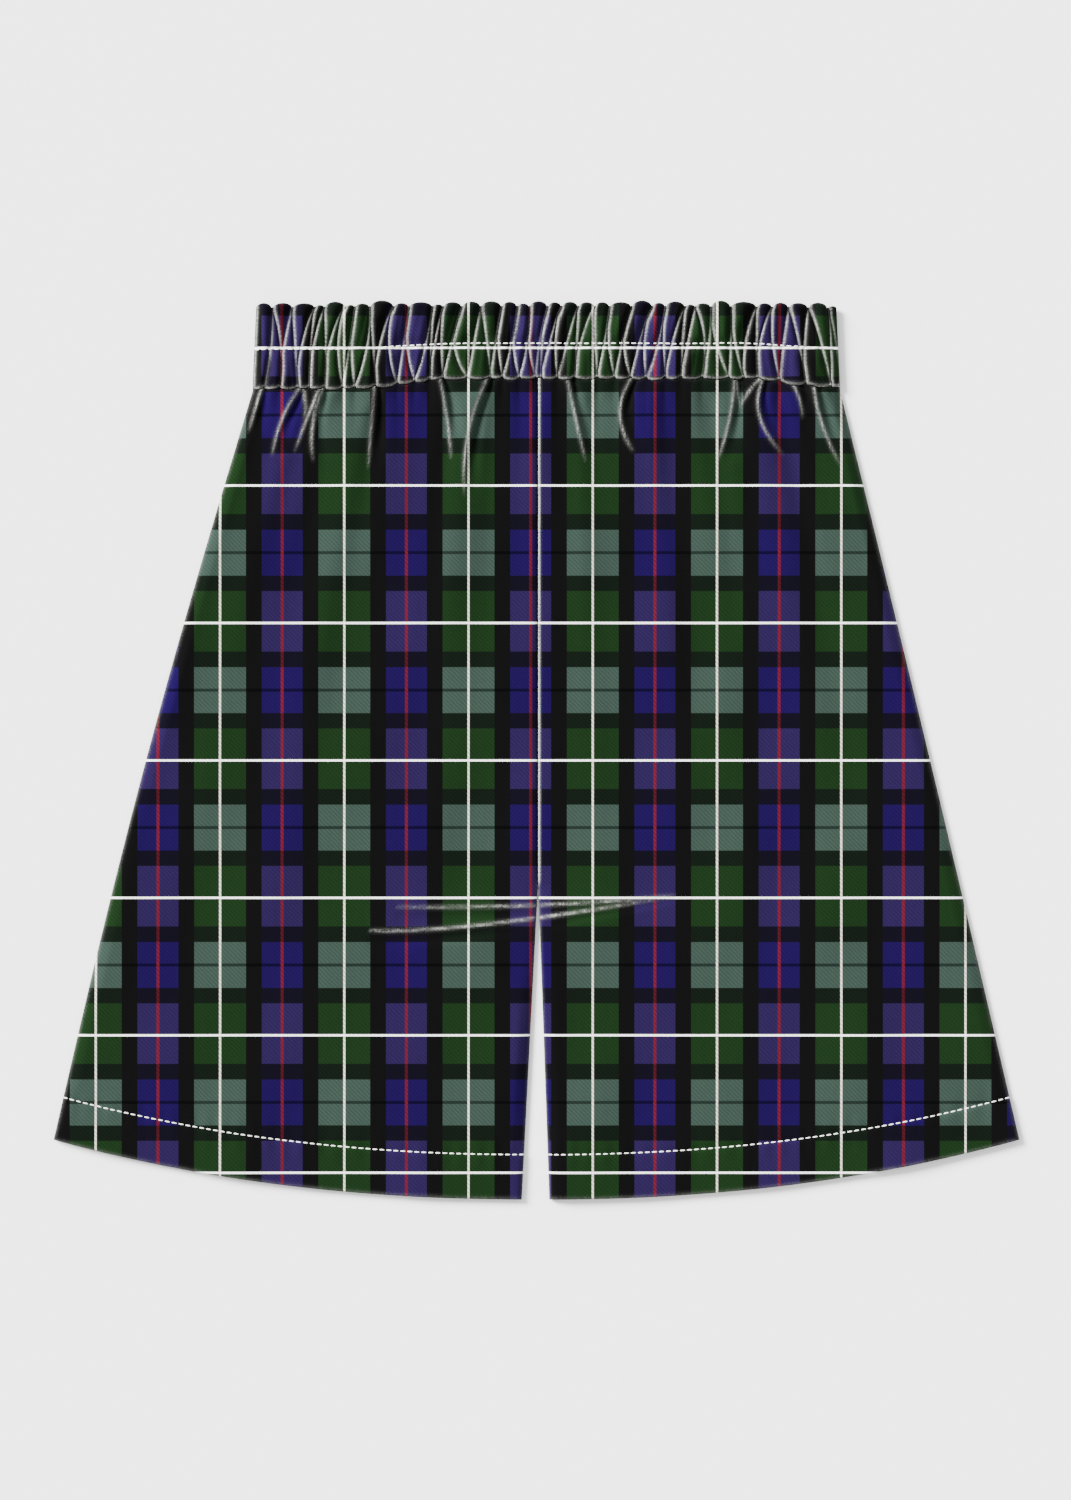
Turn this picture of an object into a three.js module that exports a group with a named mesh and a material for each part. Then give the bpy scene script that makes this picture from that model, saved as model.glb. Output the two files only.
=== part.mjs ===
// A child's pull-on tartan skort, laid flat on its back.
// Two A-line legs, each a front and a back panel, hang from a waistband gathered over elastic.
// Millimetres. +X is across the garment, towards the wearer's left leg, +Y runs from hem to waist, and
// +Z is up, out of the front. The origin is on the surface under the middle of its outline.
import * as THREE from "three";

// Outline
const HEM_WIDTH = 483.5; // corner to corner, both legs
const LENGTH = 450; // centre front, top edge to hem
const HEM_RISE = 30; // height of the hem's corners over its middle
const HEM_POWER = 2.2; // how late the hem turns up towards the corners
const WAIST_SHIFT = 4.9; // the waist lies this far towards the left leg
const WAIST_WIDTH = 294; // relaxed, at the foot of the waistband
const TOP_WIDTH = 290.4; // relaxed, at the top edge
const BAND_HEIGHT = 38.4; // waistband, top edge to seam, at centre front
// The waistband's seam sinks by drop towards each side, between two distances from the waist's middle
const BAND_SAG = {
  right: { drop: 5, from: 42, to: 100 },
  left: { drop: 4.4, from: 100, to: 147 },
};
const TOP_SAG = 1; // how far the top edge sinks at its ends
const HIP_BULGE = { right: 4.3, left: 0.8 }; // side seam, out from a straight line
const CENTRE_X = 0.8; // centre front and centre back seams
const CROTCH_Y = -67; // top of the slit between the legs
const SLIT_HALF = { right: 8.2, left: 5.6 }; // the slit at the hem, from the centre seam
const HEM_DEPTH = 22.5; // turned-up hem, edge to stitching

// Cloth
const SEAM_GAP = 0.3; // between two pieces where they are sewn
const CLOTH = 1.2; // wall of a leg panel
const HEM_CLOTH = 1.7; // the same, doubled at the hem
const HEM_STEP = 1; // half the width of the step between the two
const BAND_BACK = 3; // casing and elastic, at the back
const BAND_FRONT = 2.7; // the same at the front, under its puffs
const EDGE_ROLL = 7; // how far from a side seam the front panel has come down on the back
const EDGE_CALM = 4; // how far from a side seam its creases die out
const LOFT = 1.1; // air between the front and back panels
const HEM_LOFT = 0.35; // share of that air left at the hem
const HEM_SETTLE = 60; // how far above the hem the front panel has its full loft
const WAIST_RISE = 1.6; // extra height of the front panel where it enters the waistband
const WAIST_FADE = 46; // how far below the waistband that rise dies away
const SEAM_SINK = 0.7; // how far a panel's edge dips at the centre seam
const SEAM_ROLL = 5; // width of that dip

// Gathers
const PUFF = 2.5; // height of a full puff of the waistband
const FULL_PUFF_WIDTH = 9; // a puff this wide or wider stands to that height
const PUFF_ROUND = 0.75; // power of its arch: under 1 is rounder
const BAND_END = 0.35; // thickness of the front waistband at its ends, against its full thickness
const BAND_END_ROLL = 5; // how far in from its ends it is full
const LEAST_FOLD = 0.9; // width of the narrowest fold between two creases
const CROWN_DIP = 3; // deepest notch in the top edge
const FOOT_DIP = 1.5; // deepest notch in the waistband's lower edge
const PUCKER = 1.1; // small puckers in the leg panels, just under the waistband
const PUCKER_FADE = 9; // how far down they die away

// Creases below the waistband
const CREASE_WIDTH = 3.4; // half width of a soft crease
const RIDGE = 0.55; // height of the ridge on each side of one, against its depth
const RIDGE_PLACE = 1.7; // where that ridge is, in half widths from the crease
const RIDGE_SPREAD = 0.9; // how wide the ridge is, in half widths
const CREASE_FADE = 2.2; // power by which a crease grows shallower towards its tip
const BEND_STEPS = 14; // straight steps along a crease

// Each row is one gather of the waistband. Two creases leave a crown on the top edge: one runs down to
// the foot on its right-hand side of the body (smaller x), and one to the next row's foot. left and
// right are where they pass the band's middle. All are x in mm.
const GATHERS = [
  { foot: -136.8, left: -133.6, right: -128.5, crown: -132.6 },
  { foot: -129.0, left: -126.8, right: -121.3, crown: -122.3 },
  { foot: -119.8, left: -118.1, right: -113.5, crown: -111.2 },
  { foot: -114.4, left: -112.3, right: -106.0, crown: -106.4 },
  { foot: -106.7, left: -104.3, right: -99.8, crown: -95.8 },
  { foot: -97.4, left: -94.2, right: -93.0, crown: -91.2 },
  { foot: -91.4, left: -85.5, right: -82.3, crown: -83.8 },
  { foot: -81.2, left: -78.8, right: -74.3, crown: -71.6 },
  { foot: -70.0, left: -67.0, right: -65.3, crown: -64.2 },
  { foot: -61.5, left: -55.8, right: -53.3, crown: -52.4 },
  { foot: -54.2, left: -51.4, right: -48.1, crown: -47.1 },
  { foot: -47.3, left: -42.8, right: -41.9, crown: -37.7 },
  { foot: -34.9, left: -31.6, right: -25.5, crown: -28.2 },
  { foot: -23.8, left: -20.9, right: -19.7, crown: -17.8 },
  { foot: -17.6, left: -13.2, right: -12.2, crown: -10.0 },
  { foot: -9.0, left: -5.4, right: -4.4, crown: -4.0 },
  { foot: -1.1, left: 1.2, right: 2.3, crown: 5.2 },
  { foot: 1.9, left: 6.0, right: 8.9, crown: 12.2 },
  { foot: 9.8, left: 14.7, right: 19.5, crown: 20.5 },
  { foot: 18.3, left: 21.5, right: 28.7, crown: 28.8 },
  { foot: 30.0, left: 33.3, right: 35.5, crown: 36.2 },
  { foot: 38.5, left: 42.2, right: 43.2, crown: 47.2 },
  { foot: 46.6, left: 51.0, right: 53.5, crown: 57.6 },
  { foot: 54.4, left: 60.2, right: 63.0, crown: 64.1 },
  { foot: 63.8, left: 67.5, right: 72.4, crown: 74.0 },
  { foot: 71.6, left: 75.0, right: 83.3, crown: 79.0 },
  { foot: 82.3, left: 85.7, right: 89.0, crown: 86.8 },
  { foot: 95.7, left: 96.6, right: 98.5, crown: 96.8 },
  { foot: 103.2, left: 104.1, right: 109.4, crown: 109.8 },
  { foot: 110.2, left: 111.4, right: 117.6, crown: 117.6 },
  { foot: 121.1, left: 123.0, right: 130.7, crown: 125.7 },
  { foot: 134.0, left: 133.4, right: 142.0, crown: 135.5 },
  { foot: 146.9, left: 146.6, right: 149.5, crown: 145.3 },
];

// Soft creases in the front panels below the waistband: x at the seam, half way down and at the tip,
// how far down the tip is, and the depth at the seam.
const WAIST_CREASES = [
  { at: -137.0, bend: -140.8, tip: -144.2, drop: 23, depth: 1.2 },
  { at: -117.8, bend: -127.6, tip: -132.2, drop: 35, depth: 1.6 },
  { at: -117.4, bend: -115.4, tip: -116.6, drop: 18, depth: 1.0 },
  { at: -108.0, bend: -115.0, tip: -121.2, drop: 33, depth: 1.5 },
  { at: -106.4, bend: -112.0, tip: -111.4, drop: 38, depth: 1.5 },
  { at: -80.8, bend: -82.6, tip: -84.2, drop: 42, depth: 1.6 },
  { at: -48.2, bend: -44.6, tip: -42.8, drop: 41, depth: 1.6 },
  { at: -24.2, bend: -34.4, tip: -35.8, drop: 60, depth: 2.0 },
  { at: 15.4, bend: 19.8, tip: 24.8, drop: 43, depth: 1.6 },
  { at: 47.8, bend: 39.6, tip: 48.8, drop: 38, depth: 1.5 },
  { at: 99.4, bend: 96.4, tip: 90.2, drop: 43, depth: 1.6 },
  { at: 99.8, bend: 100.6, tip: 101.8, drop: 16, depth: 1.0 },
  { at: 112.6, bend: 105.8, tip: 101.9, drop: 15, depth: 0.9 },
  { at: 114.0, bend: 109.4, tip: 121.8, drop: 36, depth: 1.6 },
  { at: 127.2, bend: 131.6, tip: 132.8, drop: 19, depth: 1.1 },
  { at: 139.4, bend: 141.0, tip: 152.2, drop: 40, depth: 1.5 },
];

// Two shallow creases that the crotch seam draws across both front legs: both ends and a bend.
const CROTCH_CREASES = [
  { fromX: -70.8, fromY: -78.4, bendX: 5, bendY: -79.6, toX: 70.2, toY: -72.6, depth: 0.9 },
  { fromX: -84.4, fromY: -90.2, bendX: -38, bendY: -92.6, toX: 70.2, toY: -72.6, depth: 1.0 },
];

const HALF_HEM = HEM_WIDTH / 2;
const TOP_Y = LENGTH / 2;
const HEM_Y = -LENGTH / 2;
const WAIST_LEFT = WAIST_SHIFT + WAIST_WIDTH / 2;
const WAIST_RIGHT = WAIST_SHIFT - WAIST_WIDTH / 2;
const CORNER_Y = HEM_Y + HEM_RISE;
const FRONT_FLOOR = CLOTH + SEAM_GAP; // underside of a front panel where it lies on the back one
const BAND_FLOOR = BAND_BACK + SEAM_GAP; // underside of the front waistband

const mix = THREE.MathUtils.lerp;
const smooth = (low, high, value) => THREE.MathUtils.smoothstep(value, low, high);

// The waistband's seam line, without the front's notches.
function bandFoot(x) {
  const fromMiddle = x - WAIST_SHIFT;
  const { drop, from, to } = BAND_SAG[fromMiddle < 0 ? "right" : "left"];
  return TOP_Y - BAND_HEIGHT - drop * smooth(from, to, Math.abs(fromMiddle));
}

function hemEdge(x) {
  return HEM_Y + HEM_RISE * Math.min(1, Math.abs(x / HALF_HEM)) ** HEM_POWER;
}

// The x of a side seam at height y. side is "right" (negative x) or "left".
function sideSeam(side, y) {
  const sign = side === "right" ? -1 : 1;
  const waist = side === "right" ? WAIST_RIGHT : WAIST_LEFT;
  const start = bandFoot(waist) - FOOT_DIP - SEAM_GAP;
  const down = THREE.MathUtils.clamp((start - y) / (start - CORNER_Y), 0, 1);
  const bulge = HIP_BULGE[side] * Math.sin(Math.PI * down);
  return mix(waist, sign * HALF_HEM, down) + sign * bulge;
}

// The x of a leg's inner edge: the centre seam, then the slit.
function innerEdge(side, y) {
  const sign = side === "right" ? -1 : 1;
  const down = Math.max(0, (CROTCH_Y - y) / (CROTCH_Y - HEM_Y));
  return CENTRE_X + sign * (SEAM_GAP / 2 + (SLIT_HALF[side] - SEAM_GAP / 2) * down);
}

// The creases' x across the waistband at height t, from 0 at its foot to 1 at its top edge, in order,
// with the band's two ends first and last.
function creasesAt(t) {
  const low = (1 - t) * (1 - 2 * t);
  const middle = 4 * t * (1 - t);
  const high = t * (2 * t - 1);
  const curve = (foot, passing, crown) => low * foot + middle * passing + high * crown;
  const half = mix(WAIST_WIDTH, TOP_WIDTH, t) / 2;
  const lines = [WAIST_SHIFT - half];
  GATHERS.forEach((gather, k) => {
    const next = k + 1 < GATHERS.length ? GATHERS[k + 1].foot : WAIST_LEFT - LEAST_FOLD;
    lines.push(curve(gather.foot, gather.left, gather.crown));
    lines.push(curve(next, gather.right, gather.crown));
  });
  lines.push(WAIST_SHIFT + half);
  const last = lines.length - 1;
  for (let k = 1; k < last; k++) lines[k] = Math.max(lines[k], lines[k - 1] + LEAST_FOLD);
  for (let k = last - 1; k > 0; k--) lines[k] = Math.min(lines[k], lines[k + 1] - LEAST_FOLD);
  return lines;
}

const CROWNS = creasesAt(1);
const FEET = creasesAt(0);

// How full the puff between two creases is at x: 0 on a crease and up to 1 between two wide ones.
function fullness(lines, x) {
  let k = 0;
  while (k < lines.length - 2 && x > lines[k + 1]) k++;
  const width = lines[k + 1] - lines[k];
  const across = THREE.MathUtils.clamp((x - lines[k]) / width, 0, 1);
  const arch = Math.max(0, Math.sin(Math.PI * across)) ** PUFF_ROUND;
  return Math.min(1, width / FULL_PUFF_WIDTH) * arch;
}

function topEdge(x) {
  const sag = TOP_SAG * Math.min(1, Math.abs(x - WAIST_SHIFT) / (TOP_WIDTH / 2)) ** 4;
  return TOP_Y - sag - CROWN_DIP * (1 - fullness(CROWNS, x));
}

const frontFoot = (x) => bandFoot(x) - FOOT_DIP * fullness(FEET, x);

// How far (x, y) is from a crease's line, and how far along the line the nearest point of it is.
function nearestOnBend(x, y, { from, bend, to }) {
  let best = { distance: Infinity, along: 0 };
  let before = from;
  for (let k = 1; k <= BEND_STEPS; k++) {
    const s = k / BEND_STEPS;
    const here = from.clone().multiplyScalar((1 - s) ** 2);
    here.addScaledVector(bend, 2 * s * (1 - s)).addScaledVector(to, s * s);
    const step = here.clone().sub(before);
    const offset = new THREE.Vector2(x, y).sub(before);
    const share = THREE.MathUtils.clamp(offset.dot(step) / step.lengthSq(), 0, 1);
    const distance = offset.addScaledVector(step, -share).length();
    if (distance < best.distance) best = { distance, along: (k - 1 + share) / BEND_STEPS };
    before = here;
  }
  return best;
}

// A soft trough with a low ridge on each side of it.
function troughProfile(distance) {
  const scaled = distance / CREASE_WIDTH;
  const fromRidge = (scaled - RIDGE_PLACE) / RIDGE_SPREAD;
  return RIDGE * Math.exp(-fromRidge * fromRidge) - Math.exp(-scaled * scaled);
}

// A crease from the waistband is deepest there, and one from the crotch is deepest half way.
function waistCrease({ at, bend, tip, drop, depth }) {
  const top = bandFoot(at);
  return {
    from: new THREE.Vector2(at, top),
    bend: new THREE.Vector2(2 * bend - (at + tip) / 2, top - drop / 2),
    to: new THREE.Vector2(tip, top - drop),
    depthAt: (along) => depth * (1 - along ** CREASE_FADE),
  };
}

function crotchCrease({ fromX, fromY, bendX, bendY, toX, toY, depth }) {
  return {
    from: new THREE.Vector2(fromX, fromY),
    bend: new THREE.Vector2(bendX, bendY),
    to: new THREE.Vector2(toX, toY),
    depthAt: (along) => depth * Math.sqrt(Math.max(0, Math.sin(Math.PI * along))),
  };
}

const CREASES = [...WAIST_CREASES.map(waistCrease), ...CROTCH_CREASES.map(crotchCrease)];

// Where creases meet, the deepest trough wins over any ridge, so that they don't add up.
function creaseHeight(x, y) {
  const heights = CREASES.map((crease) => {
    const { distance, along } = nearestOnBend(x, y, crease);
    return crease.depthAt(along) * troughProfile(distance);
  });
  const deepest = Math.min(...heights);
  return deepest < 0 ? deepest : Math.max(...heights);
}

// The extra thickness of the turned-up hem, 0 above its stitching.
function hemExtra(x, y) {
  const above = smooth(HEM_DEPTH - HEM_STEP, HEM_DEPTH + HEM_STEP, y - hemEdge(x));
  return (HEM_CLOTH - CLOTH) * (1 - above);
}

// The underside of a front leg panel. It lies on the back panel along its seams and rises off it
// between them, most of all where the waistband gathers it.
function frontUnderside(side, x, y) {
  const fromSide = Math.abs(x - sideSeam(side, y));
  const fromInner = Math.abs(x - innerEdge(side, y));
  const fromHem = Math.max(0, y - hemEdge(x));
  const below = Math.max(0, bandFoot(x) - y);
  const split = y < CROTCH_Y;
  const freed = Math.min(smooth(0, EDGE_ROLL, fromSide), split ? smooth(0, EDGE_ROLL, fromInner) : 1);
  const settled = mix(HEM_LOFT, 1, smooth(0, HEM_SETTLE, fromHem));
  const lift = freed * (LOFT * settled + WAIST_RISE * Math.exp(-below / WAIST_FADE));
  const seam = split ? 0 : SEAM_SINK * (1 - smooth(0, SEAM_ROLL, fromInner));
  const creased = creaseHeight(x, y) * smooth(0, EDGE_CALM, fromSide);
  return FRONT_FLOOR + hemExtra(x, y) + Math.max(0, lift - seam + creased);
}

function frontOutside(side, x, y) {
  const below = Math.max(0, bandFoot(x) - y);
  const pucker = PUCKER * fullness(FEET, x) * Math.exp(-below / PUCKER_FADE);
  return frontUnderside(side, x, y) + CLOTH + hemExtra(x, y) + pucker;
}

// A closed wall over a grid of columns by rows. place(i, j) gives [x, y, lower z, upper z].
function wall(columns, rows, place) {
  const positions = [];
  const index = [];
  for (const upper of [0, 1]) {
    for (let j = 0; j <= rows; j++) {
      for (let i = 0; i <= columns; i++) {
        const [x, y, low, high] = place(i, j);
        positions.push(x, y, upper ? high : low);
      }
    }
  }
  const layer = (columns + 1) * (rows + 1);
  const at = (i, j, upper) => upper * layer + j * (columns + 1) + i;
  const quad = (a, b, c, d) => index.push(a, b, c, a, c, d);
  for (let j = 0; j < rows; j++) {
    for (let i = 0; i < columns; i++) {
      quad(at(i, j, 1), at(i + 1, j, 1), at(i + 1, j + 1, 1), at(i, j + 1, 1));
      quad(at(i, j, 0), at(i, j + 1, 0), at(i + 1, j + 1, 0), at(i + 1, j, 0));
    }
  }
  for (let i = 0; i < columns; i++) {
    quad(at(i, 0, 0), at(i + 1, 0, 0), at(i + 1, 0, 1), at(i, 0, 1));
    quad(at(i + 1, rows, 0), at(i, rows, 0), at(i, rows, 1), at(i + 1, rows, 1));
  }
  for (let j = 0; j < rows; j++) {
    quad(at(0, j + 1, 0), at(0, j, 0), at(0, j, 1), at(0, j + 1, 1));
    quad(at(columns, j, 0), at(columns, j + 1, 0), at(columns, j + 1, 1), at(columns, j, 1));
  }
  const geometry = new THREE.BufferGeometry();
  geometry.setAttribute("position", new THREE.Float32BufferAttribute(positions, 3));
  geometry.setIndex(index);
  geometry.computeVertexNormals();
  return geometry;
}

// Columns of a leg panel as shares of its width: at the feet of the creases, and between them on a
// front panel, so that its top edge meets the waistband's notches.
function legColumns(side, layer) {
  const outer = side === "right" ? WAIST_RIGHT : WAIST_LEFT;
  const between = (k) => (FEET[k - 1] + FEET[k]) / 2;
  const places = layer === "front" ? [between(1)] : [];
  places.push(FEET[1]);
  for (let k = 2; k < FEET.length - 1; k += 2) {
    if (layer === "front") places.push(between(k));
    if (k < FEET.length - 2) places.push(FEET[k]);
  }
  const within = places.filter((x) => (side === "right" ? x < CENTRE_X : x > CENTRE_X));
  const clear = within.filter((x) => Math.abs(x - CENTRE_X) > LEAST_FOLD);
  const stops = [outer, ...clear, CENTRE_X].sort((a, b) => a - b);
  const width = stops[stops.length - 1] - stops[0];
  return stops.map((x) => (x - stops[0]) / width);
}

// Rows run from hem to waist: the hem's edge, its stitching, then mm below the waistband.
const HEM_ROWS = [0, HEM_DEPTH - HEM_STEP, HEM_DEPTH + HEM_STEP];
const FRONT_ROWS = [
  342, 308, 286, 277, 271, 265, 259, 253, 245, 232, 206, 178, 150, 122, 98, 80, 64, 52, 42, 33, 25, 18,
  12, 7, 3, 0,
];
const BACK_ROWS = [342, 300, 255, 200, 140, 90, 50, 20, 0];

// The place on a leg panel of one column and row. share runs over its width in the direction of x.
function legPoint(side, share, row, waistEdge, belowRows) {
  const low = (y) => (side === "right" ? sideSeam(side, y) : innerEdge(side, y));
  const high = (y) => (side === "right" ? innerEdge(side, y) : sideSeam(side, y));
  const fromHem = row < HEM_ROWS.length;
  const fullDrop = TOP_Y - BAND_HEIGHT - HEM_Y - HEM_DEPTH;
  let y = fromHem ? HEM_Y : TOP_Y;
  let x = 0;
  for (let round = 0; round < 8; round++) {
    x = mix(low(y), high(y), share);
    const waist = waistEdge(x) - SEAM_GAP;
    const drop = waist - hemEdge(x) - HEM_DEPTH;
    const down = fromHem ? 0 : belowRows[row - HEM_ROWS.length] / fullDrop;
    y = fromHem ? hemEdge(x) + HEM_ROWS[row] : waist - down * drop;
  }
  return [x, y];
}

function frontLeg(side) {
  const shares = legColumns(side, "front");
  const rows = HEM_ROWS.length + FRONT_ROWS.length - 1;
  return wall(shares.length - 1, rows, (i, j) => {
    const [x, y] = legPoint(side, shares[i], j, frontFoot, FRONT_ROWS);
    return [x, y, frontUnderside(side, x, y), frontOutside(side, x, y)];
  });
}

function backLeg(side) {
  const shares = legColumns(side, "back");
  const rows = HEM_ROWS.length + BACK_ROWS.length - 1;
  return wall(shares.length - 1, rows, (i, j) => {
    const [x, y] = legPoint(side, shares[i], j, bandFoot, BACK_ROWS);
    return [x, y, 0, CLOTH + hemExtra(x, y)];
  });
}

// Heights across the waistband, as shares of its height, and how far its puffs and its wall stand
// there: pinched at the seam, at the stitching half way up and where the top edge folds over.
const BAND_LEVELS = [
  { t: 0, puff: 0.35, wall: 0.78 },
  { t: 0.14, puff: 0.85, wall: 0.96 },
  { t: 0.32, puff: 1, wall: 1 },
  { t: 0.51, puff: 0.62, wall: 0.88 },
  { t: 0.72, puff: 1, wall: 1 },
  { t: 0.9, puff: 0.85, wall: 0.94 },
  { t: 1, puff: 0.3, wall: 0.55 },
];

// A wall of the waistband with columns on each crease and half way between two.
function bandWall(levels, footEdge, heights) {
  return wall(2 * (FEET.length - 1), levels.length - 1, (i, j) => {
    const level = levels[j];
    const lines = creasesAt(level.t);
    const k = Math.min(Math.floor(i / 2), lines.length - 2);
    const x = mix(lines[k], lines[k + 1], i / 2 - k);
    const y = mix(footEdge(x), topEdge(x), level.t);
    return [x, y, ...heights(x, level, lines)];
  });
}

function frontBand() {
  return bandWall(BAND_LEVELS, frontFoot, (x, level, lines) => {
    const fromEnd = Math.min(x - lines[0], lines[lines.length - 1] - x);
    const full = mix(BAND_END, 1, smooth(0, BAND_END_ROLL, fromEnd));
    const puffed = PUFF * level.puff * fullness(lines, x);
    return [BAND_FLOOR, BAND_FLOOR + (BAND_FRONT * level.wall + puffed) * full];
  });
}

function backBand() {
  const ends = [BAND_LEVELS[0], BAND_LEVELS[BAND_LEVELS.length - 1]];
  return bandWall(ends, bandFoot, () => [0, BAND_BACK]);
}

const tartan = new THREE.Color("#232a3a");
const material = () => new THREE.MeshStandardMaterial({ color: tartan, roughness: 0.85, metalness: 0 });

const skort = new THREE.Group();
const PIECES = {
  right_front_leg: frontLeg("right"),
  left_front_leg: frontLeg("left"),
  right_back_leg: backLeg("right"),
  left_back_leg: backLeg("left"),
  front_waistband: frontBand(),
  back_waistband: backBand(),
};
for (const [name, geometry] of Object.entries(PIECES)) {
  const mesh = new THREE.Mesh(geometry, material());
  mesh.name = name;
  skort.add(mesh);
}

export default skort;
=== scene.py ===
# %% [markdown]
# # A child's tartan skort, laid flat
# The garment is a pull-on skort cut like culottes: two wide A-line legs, each a front and a back
# panel, and a waistband gathered over elastic. It lies on its back, so four panels of thin cloth rest
# on each other in pairs. Each cell below makes one thing: first the view and the light, then the woven
# cloth, then the panels with their creases, and last the sewing. Sizes are in millimetres, as a cutter
# writes them, and MM turns them into Blender's metres.

# %% Load the fixed frame
import math

import bpy
import numpy as np
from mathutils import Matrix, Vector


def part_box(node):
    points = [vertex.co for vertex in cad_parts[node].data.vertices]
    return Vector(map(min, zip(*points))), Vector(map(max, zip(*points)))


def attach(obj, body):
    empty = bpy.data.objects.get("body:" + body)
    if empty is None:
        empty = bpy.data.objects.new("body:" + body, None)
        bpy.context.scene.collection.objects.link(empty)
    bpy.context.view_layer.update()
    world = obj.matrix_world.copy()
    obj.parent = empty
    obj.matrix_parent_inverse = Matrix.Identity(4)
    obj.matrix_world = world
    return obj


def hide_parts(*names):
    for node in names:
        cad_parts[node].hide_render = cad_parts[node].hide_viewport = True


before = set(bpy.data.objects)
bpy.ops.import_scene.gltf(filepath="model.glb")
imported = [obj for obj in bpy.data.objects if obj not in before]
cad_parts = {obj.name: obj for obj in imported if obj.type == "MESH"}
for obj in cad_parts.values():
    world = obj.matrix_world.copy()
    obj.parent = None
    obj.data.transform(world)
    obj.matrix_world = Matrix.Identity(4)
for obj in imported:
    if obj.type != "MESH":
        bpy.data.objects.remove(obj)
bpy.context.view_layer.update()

MM = 0.001
print("nodes:", sorted(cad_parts))

# %% [markdown]
# The view is from straight above the middle of the garment, with the waist at the top. A long lens is
# far enough away for the sides of the cloth to stay hidden, as in a flat drawing. The picture is
# portrait, so the lens's sensor size runs along its height.

# %% Camera
VIEW_HEIGHT = 750  # of the surface, from the picture's top edge to its bottom edge
VIEW_CENTRE = (-0.5, 0)
CLOTH_LEVEL = 5  # height of the surface that the view is measured on
LENS = 135
SENSOR = 36

camera_data = bpy.data.cameras.new("overhead")
camera_data.lens = LENS
camera_data.sensor_width = SENSOR
camera = bpy.data.objects.new("overhead", camera_data)
camera_distance = VIEW_HEIGHT * LENS / SENSOR
camera.location = (VIEW_CENTRE[0] * MM, VIEW_CENTRE[1] * MM, (CLOTH_LEVEL + camera_distance) * MM)
bpy.context.scene.collection.objects.link(camera)
bpy.context.scene.camera = camera
print("camera height:", round(camera.location.z, 3), "m")

# %% [markdown]
# Gathers and creases only show where light comes from one side. A broad low sun rakes across the cloth
# from beyond its upper left, and a pale even sky fills the shadows. Both are soft, as in a studio tent.

# %% Light and floor
SUN_STRENGTH = 18
SUN_SOFTNESS = 24  # degrees that the sun's disc covers
SUN_HEIGHT = 30  # degrees above the surface
SUN_FROM = 148  # degrees anticlockwise from +X, seen from above
SKY_STRENGTH = 1.44
FLOOR_HALF = 4  # metres
FLOOR_LEVEL = -0.05  # a hair under the cloth, so the two don't flicker
PAPER_SHADE = 0.94
PAPER_ROUGHNESS = 0.9


def make_sun():
    lamp = bpy.data.lights.new("raking_sun", "SUN")
    lamp.energy = SUN_STRENGTH
    lamp.angle = math.radians(SUN_SOFTNESS)
    sun = bpy.data.objects.new("raking_sun", lamp)
    sun.rotation_euler = (math.radians(90 - SUN_HEIGHT), 0, math.radians(SUN_FROM + 90))
    bpy.context.scene.collection.objects.link(sun)


def make_sky():
    sky = bpy.data.worlds.new("studio_tent")
    sky.use_nodes = True
    glow = sky.node_tree.nodes["Background"].inputs
    glow["Color"].default_value = (1, 1, 1, 1)
    glow["Strength"].default_value = SKY_STRENGTH
    bpy.context.scene.world = sky


def make_floor():
    mesh = bpy.data.meshes.new("floor")
    corners = [(-1, -1), (1, -1), (1, 1), (-1, 1)]
    places = [(x * FLOOR_HALF, y * FLOOR_HALF, FLOOR_LEVEL * MM) for x, y in corners]
    mesh.from_pydata(places, [], [(0, 1, 2, 3)])
    floor = bpy.data.objects.new("floor", mesh)
    bpy.context.scene.collection.objects.link(floor)
    paper = bpy.data.materials.new("floor_paper")
    paper.use_nodes = True
    shader = paper.node_tree.nodes["Principled BSDF"].inputs
    shader["Base Color"].default_value = (PAPER_SHADE, PAPER_SHADE, PAPER_SHADE, 1)
    shader["Roughness"].default_value = PAPER_ROUGHNESS
    mesh.materials.append(paper)


make_sun()
make_sky()
make_floor()
print("lit from", SUN_FROM, "degrees, at", SUN_HEIGHT, "degrees")

# %% [markdown]
# The pattern of a tartan is worked out as numbers: how far a point is from the nearest line, and
# which stripe that puts it in. Written as nodes that would be a hundred wires, so a small class stands
# for a node's output and gives it Python's own signs. `a * b` on two of them adds one Math node, and
# the reflected forms let a plain number stand first, as in `1 - a`.

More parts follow.
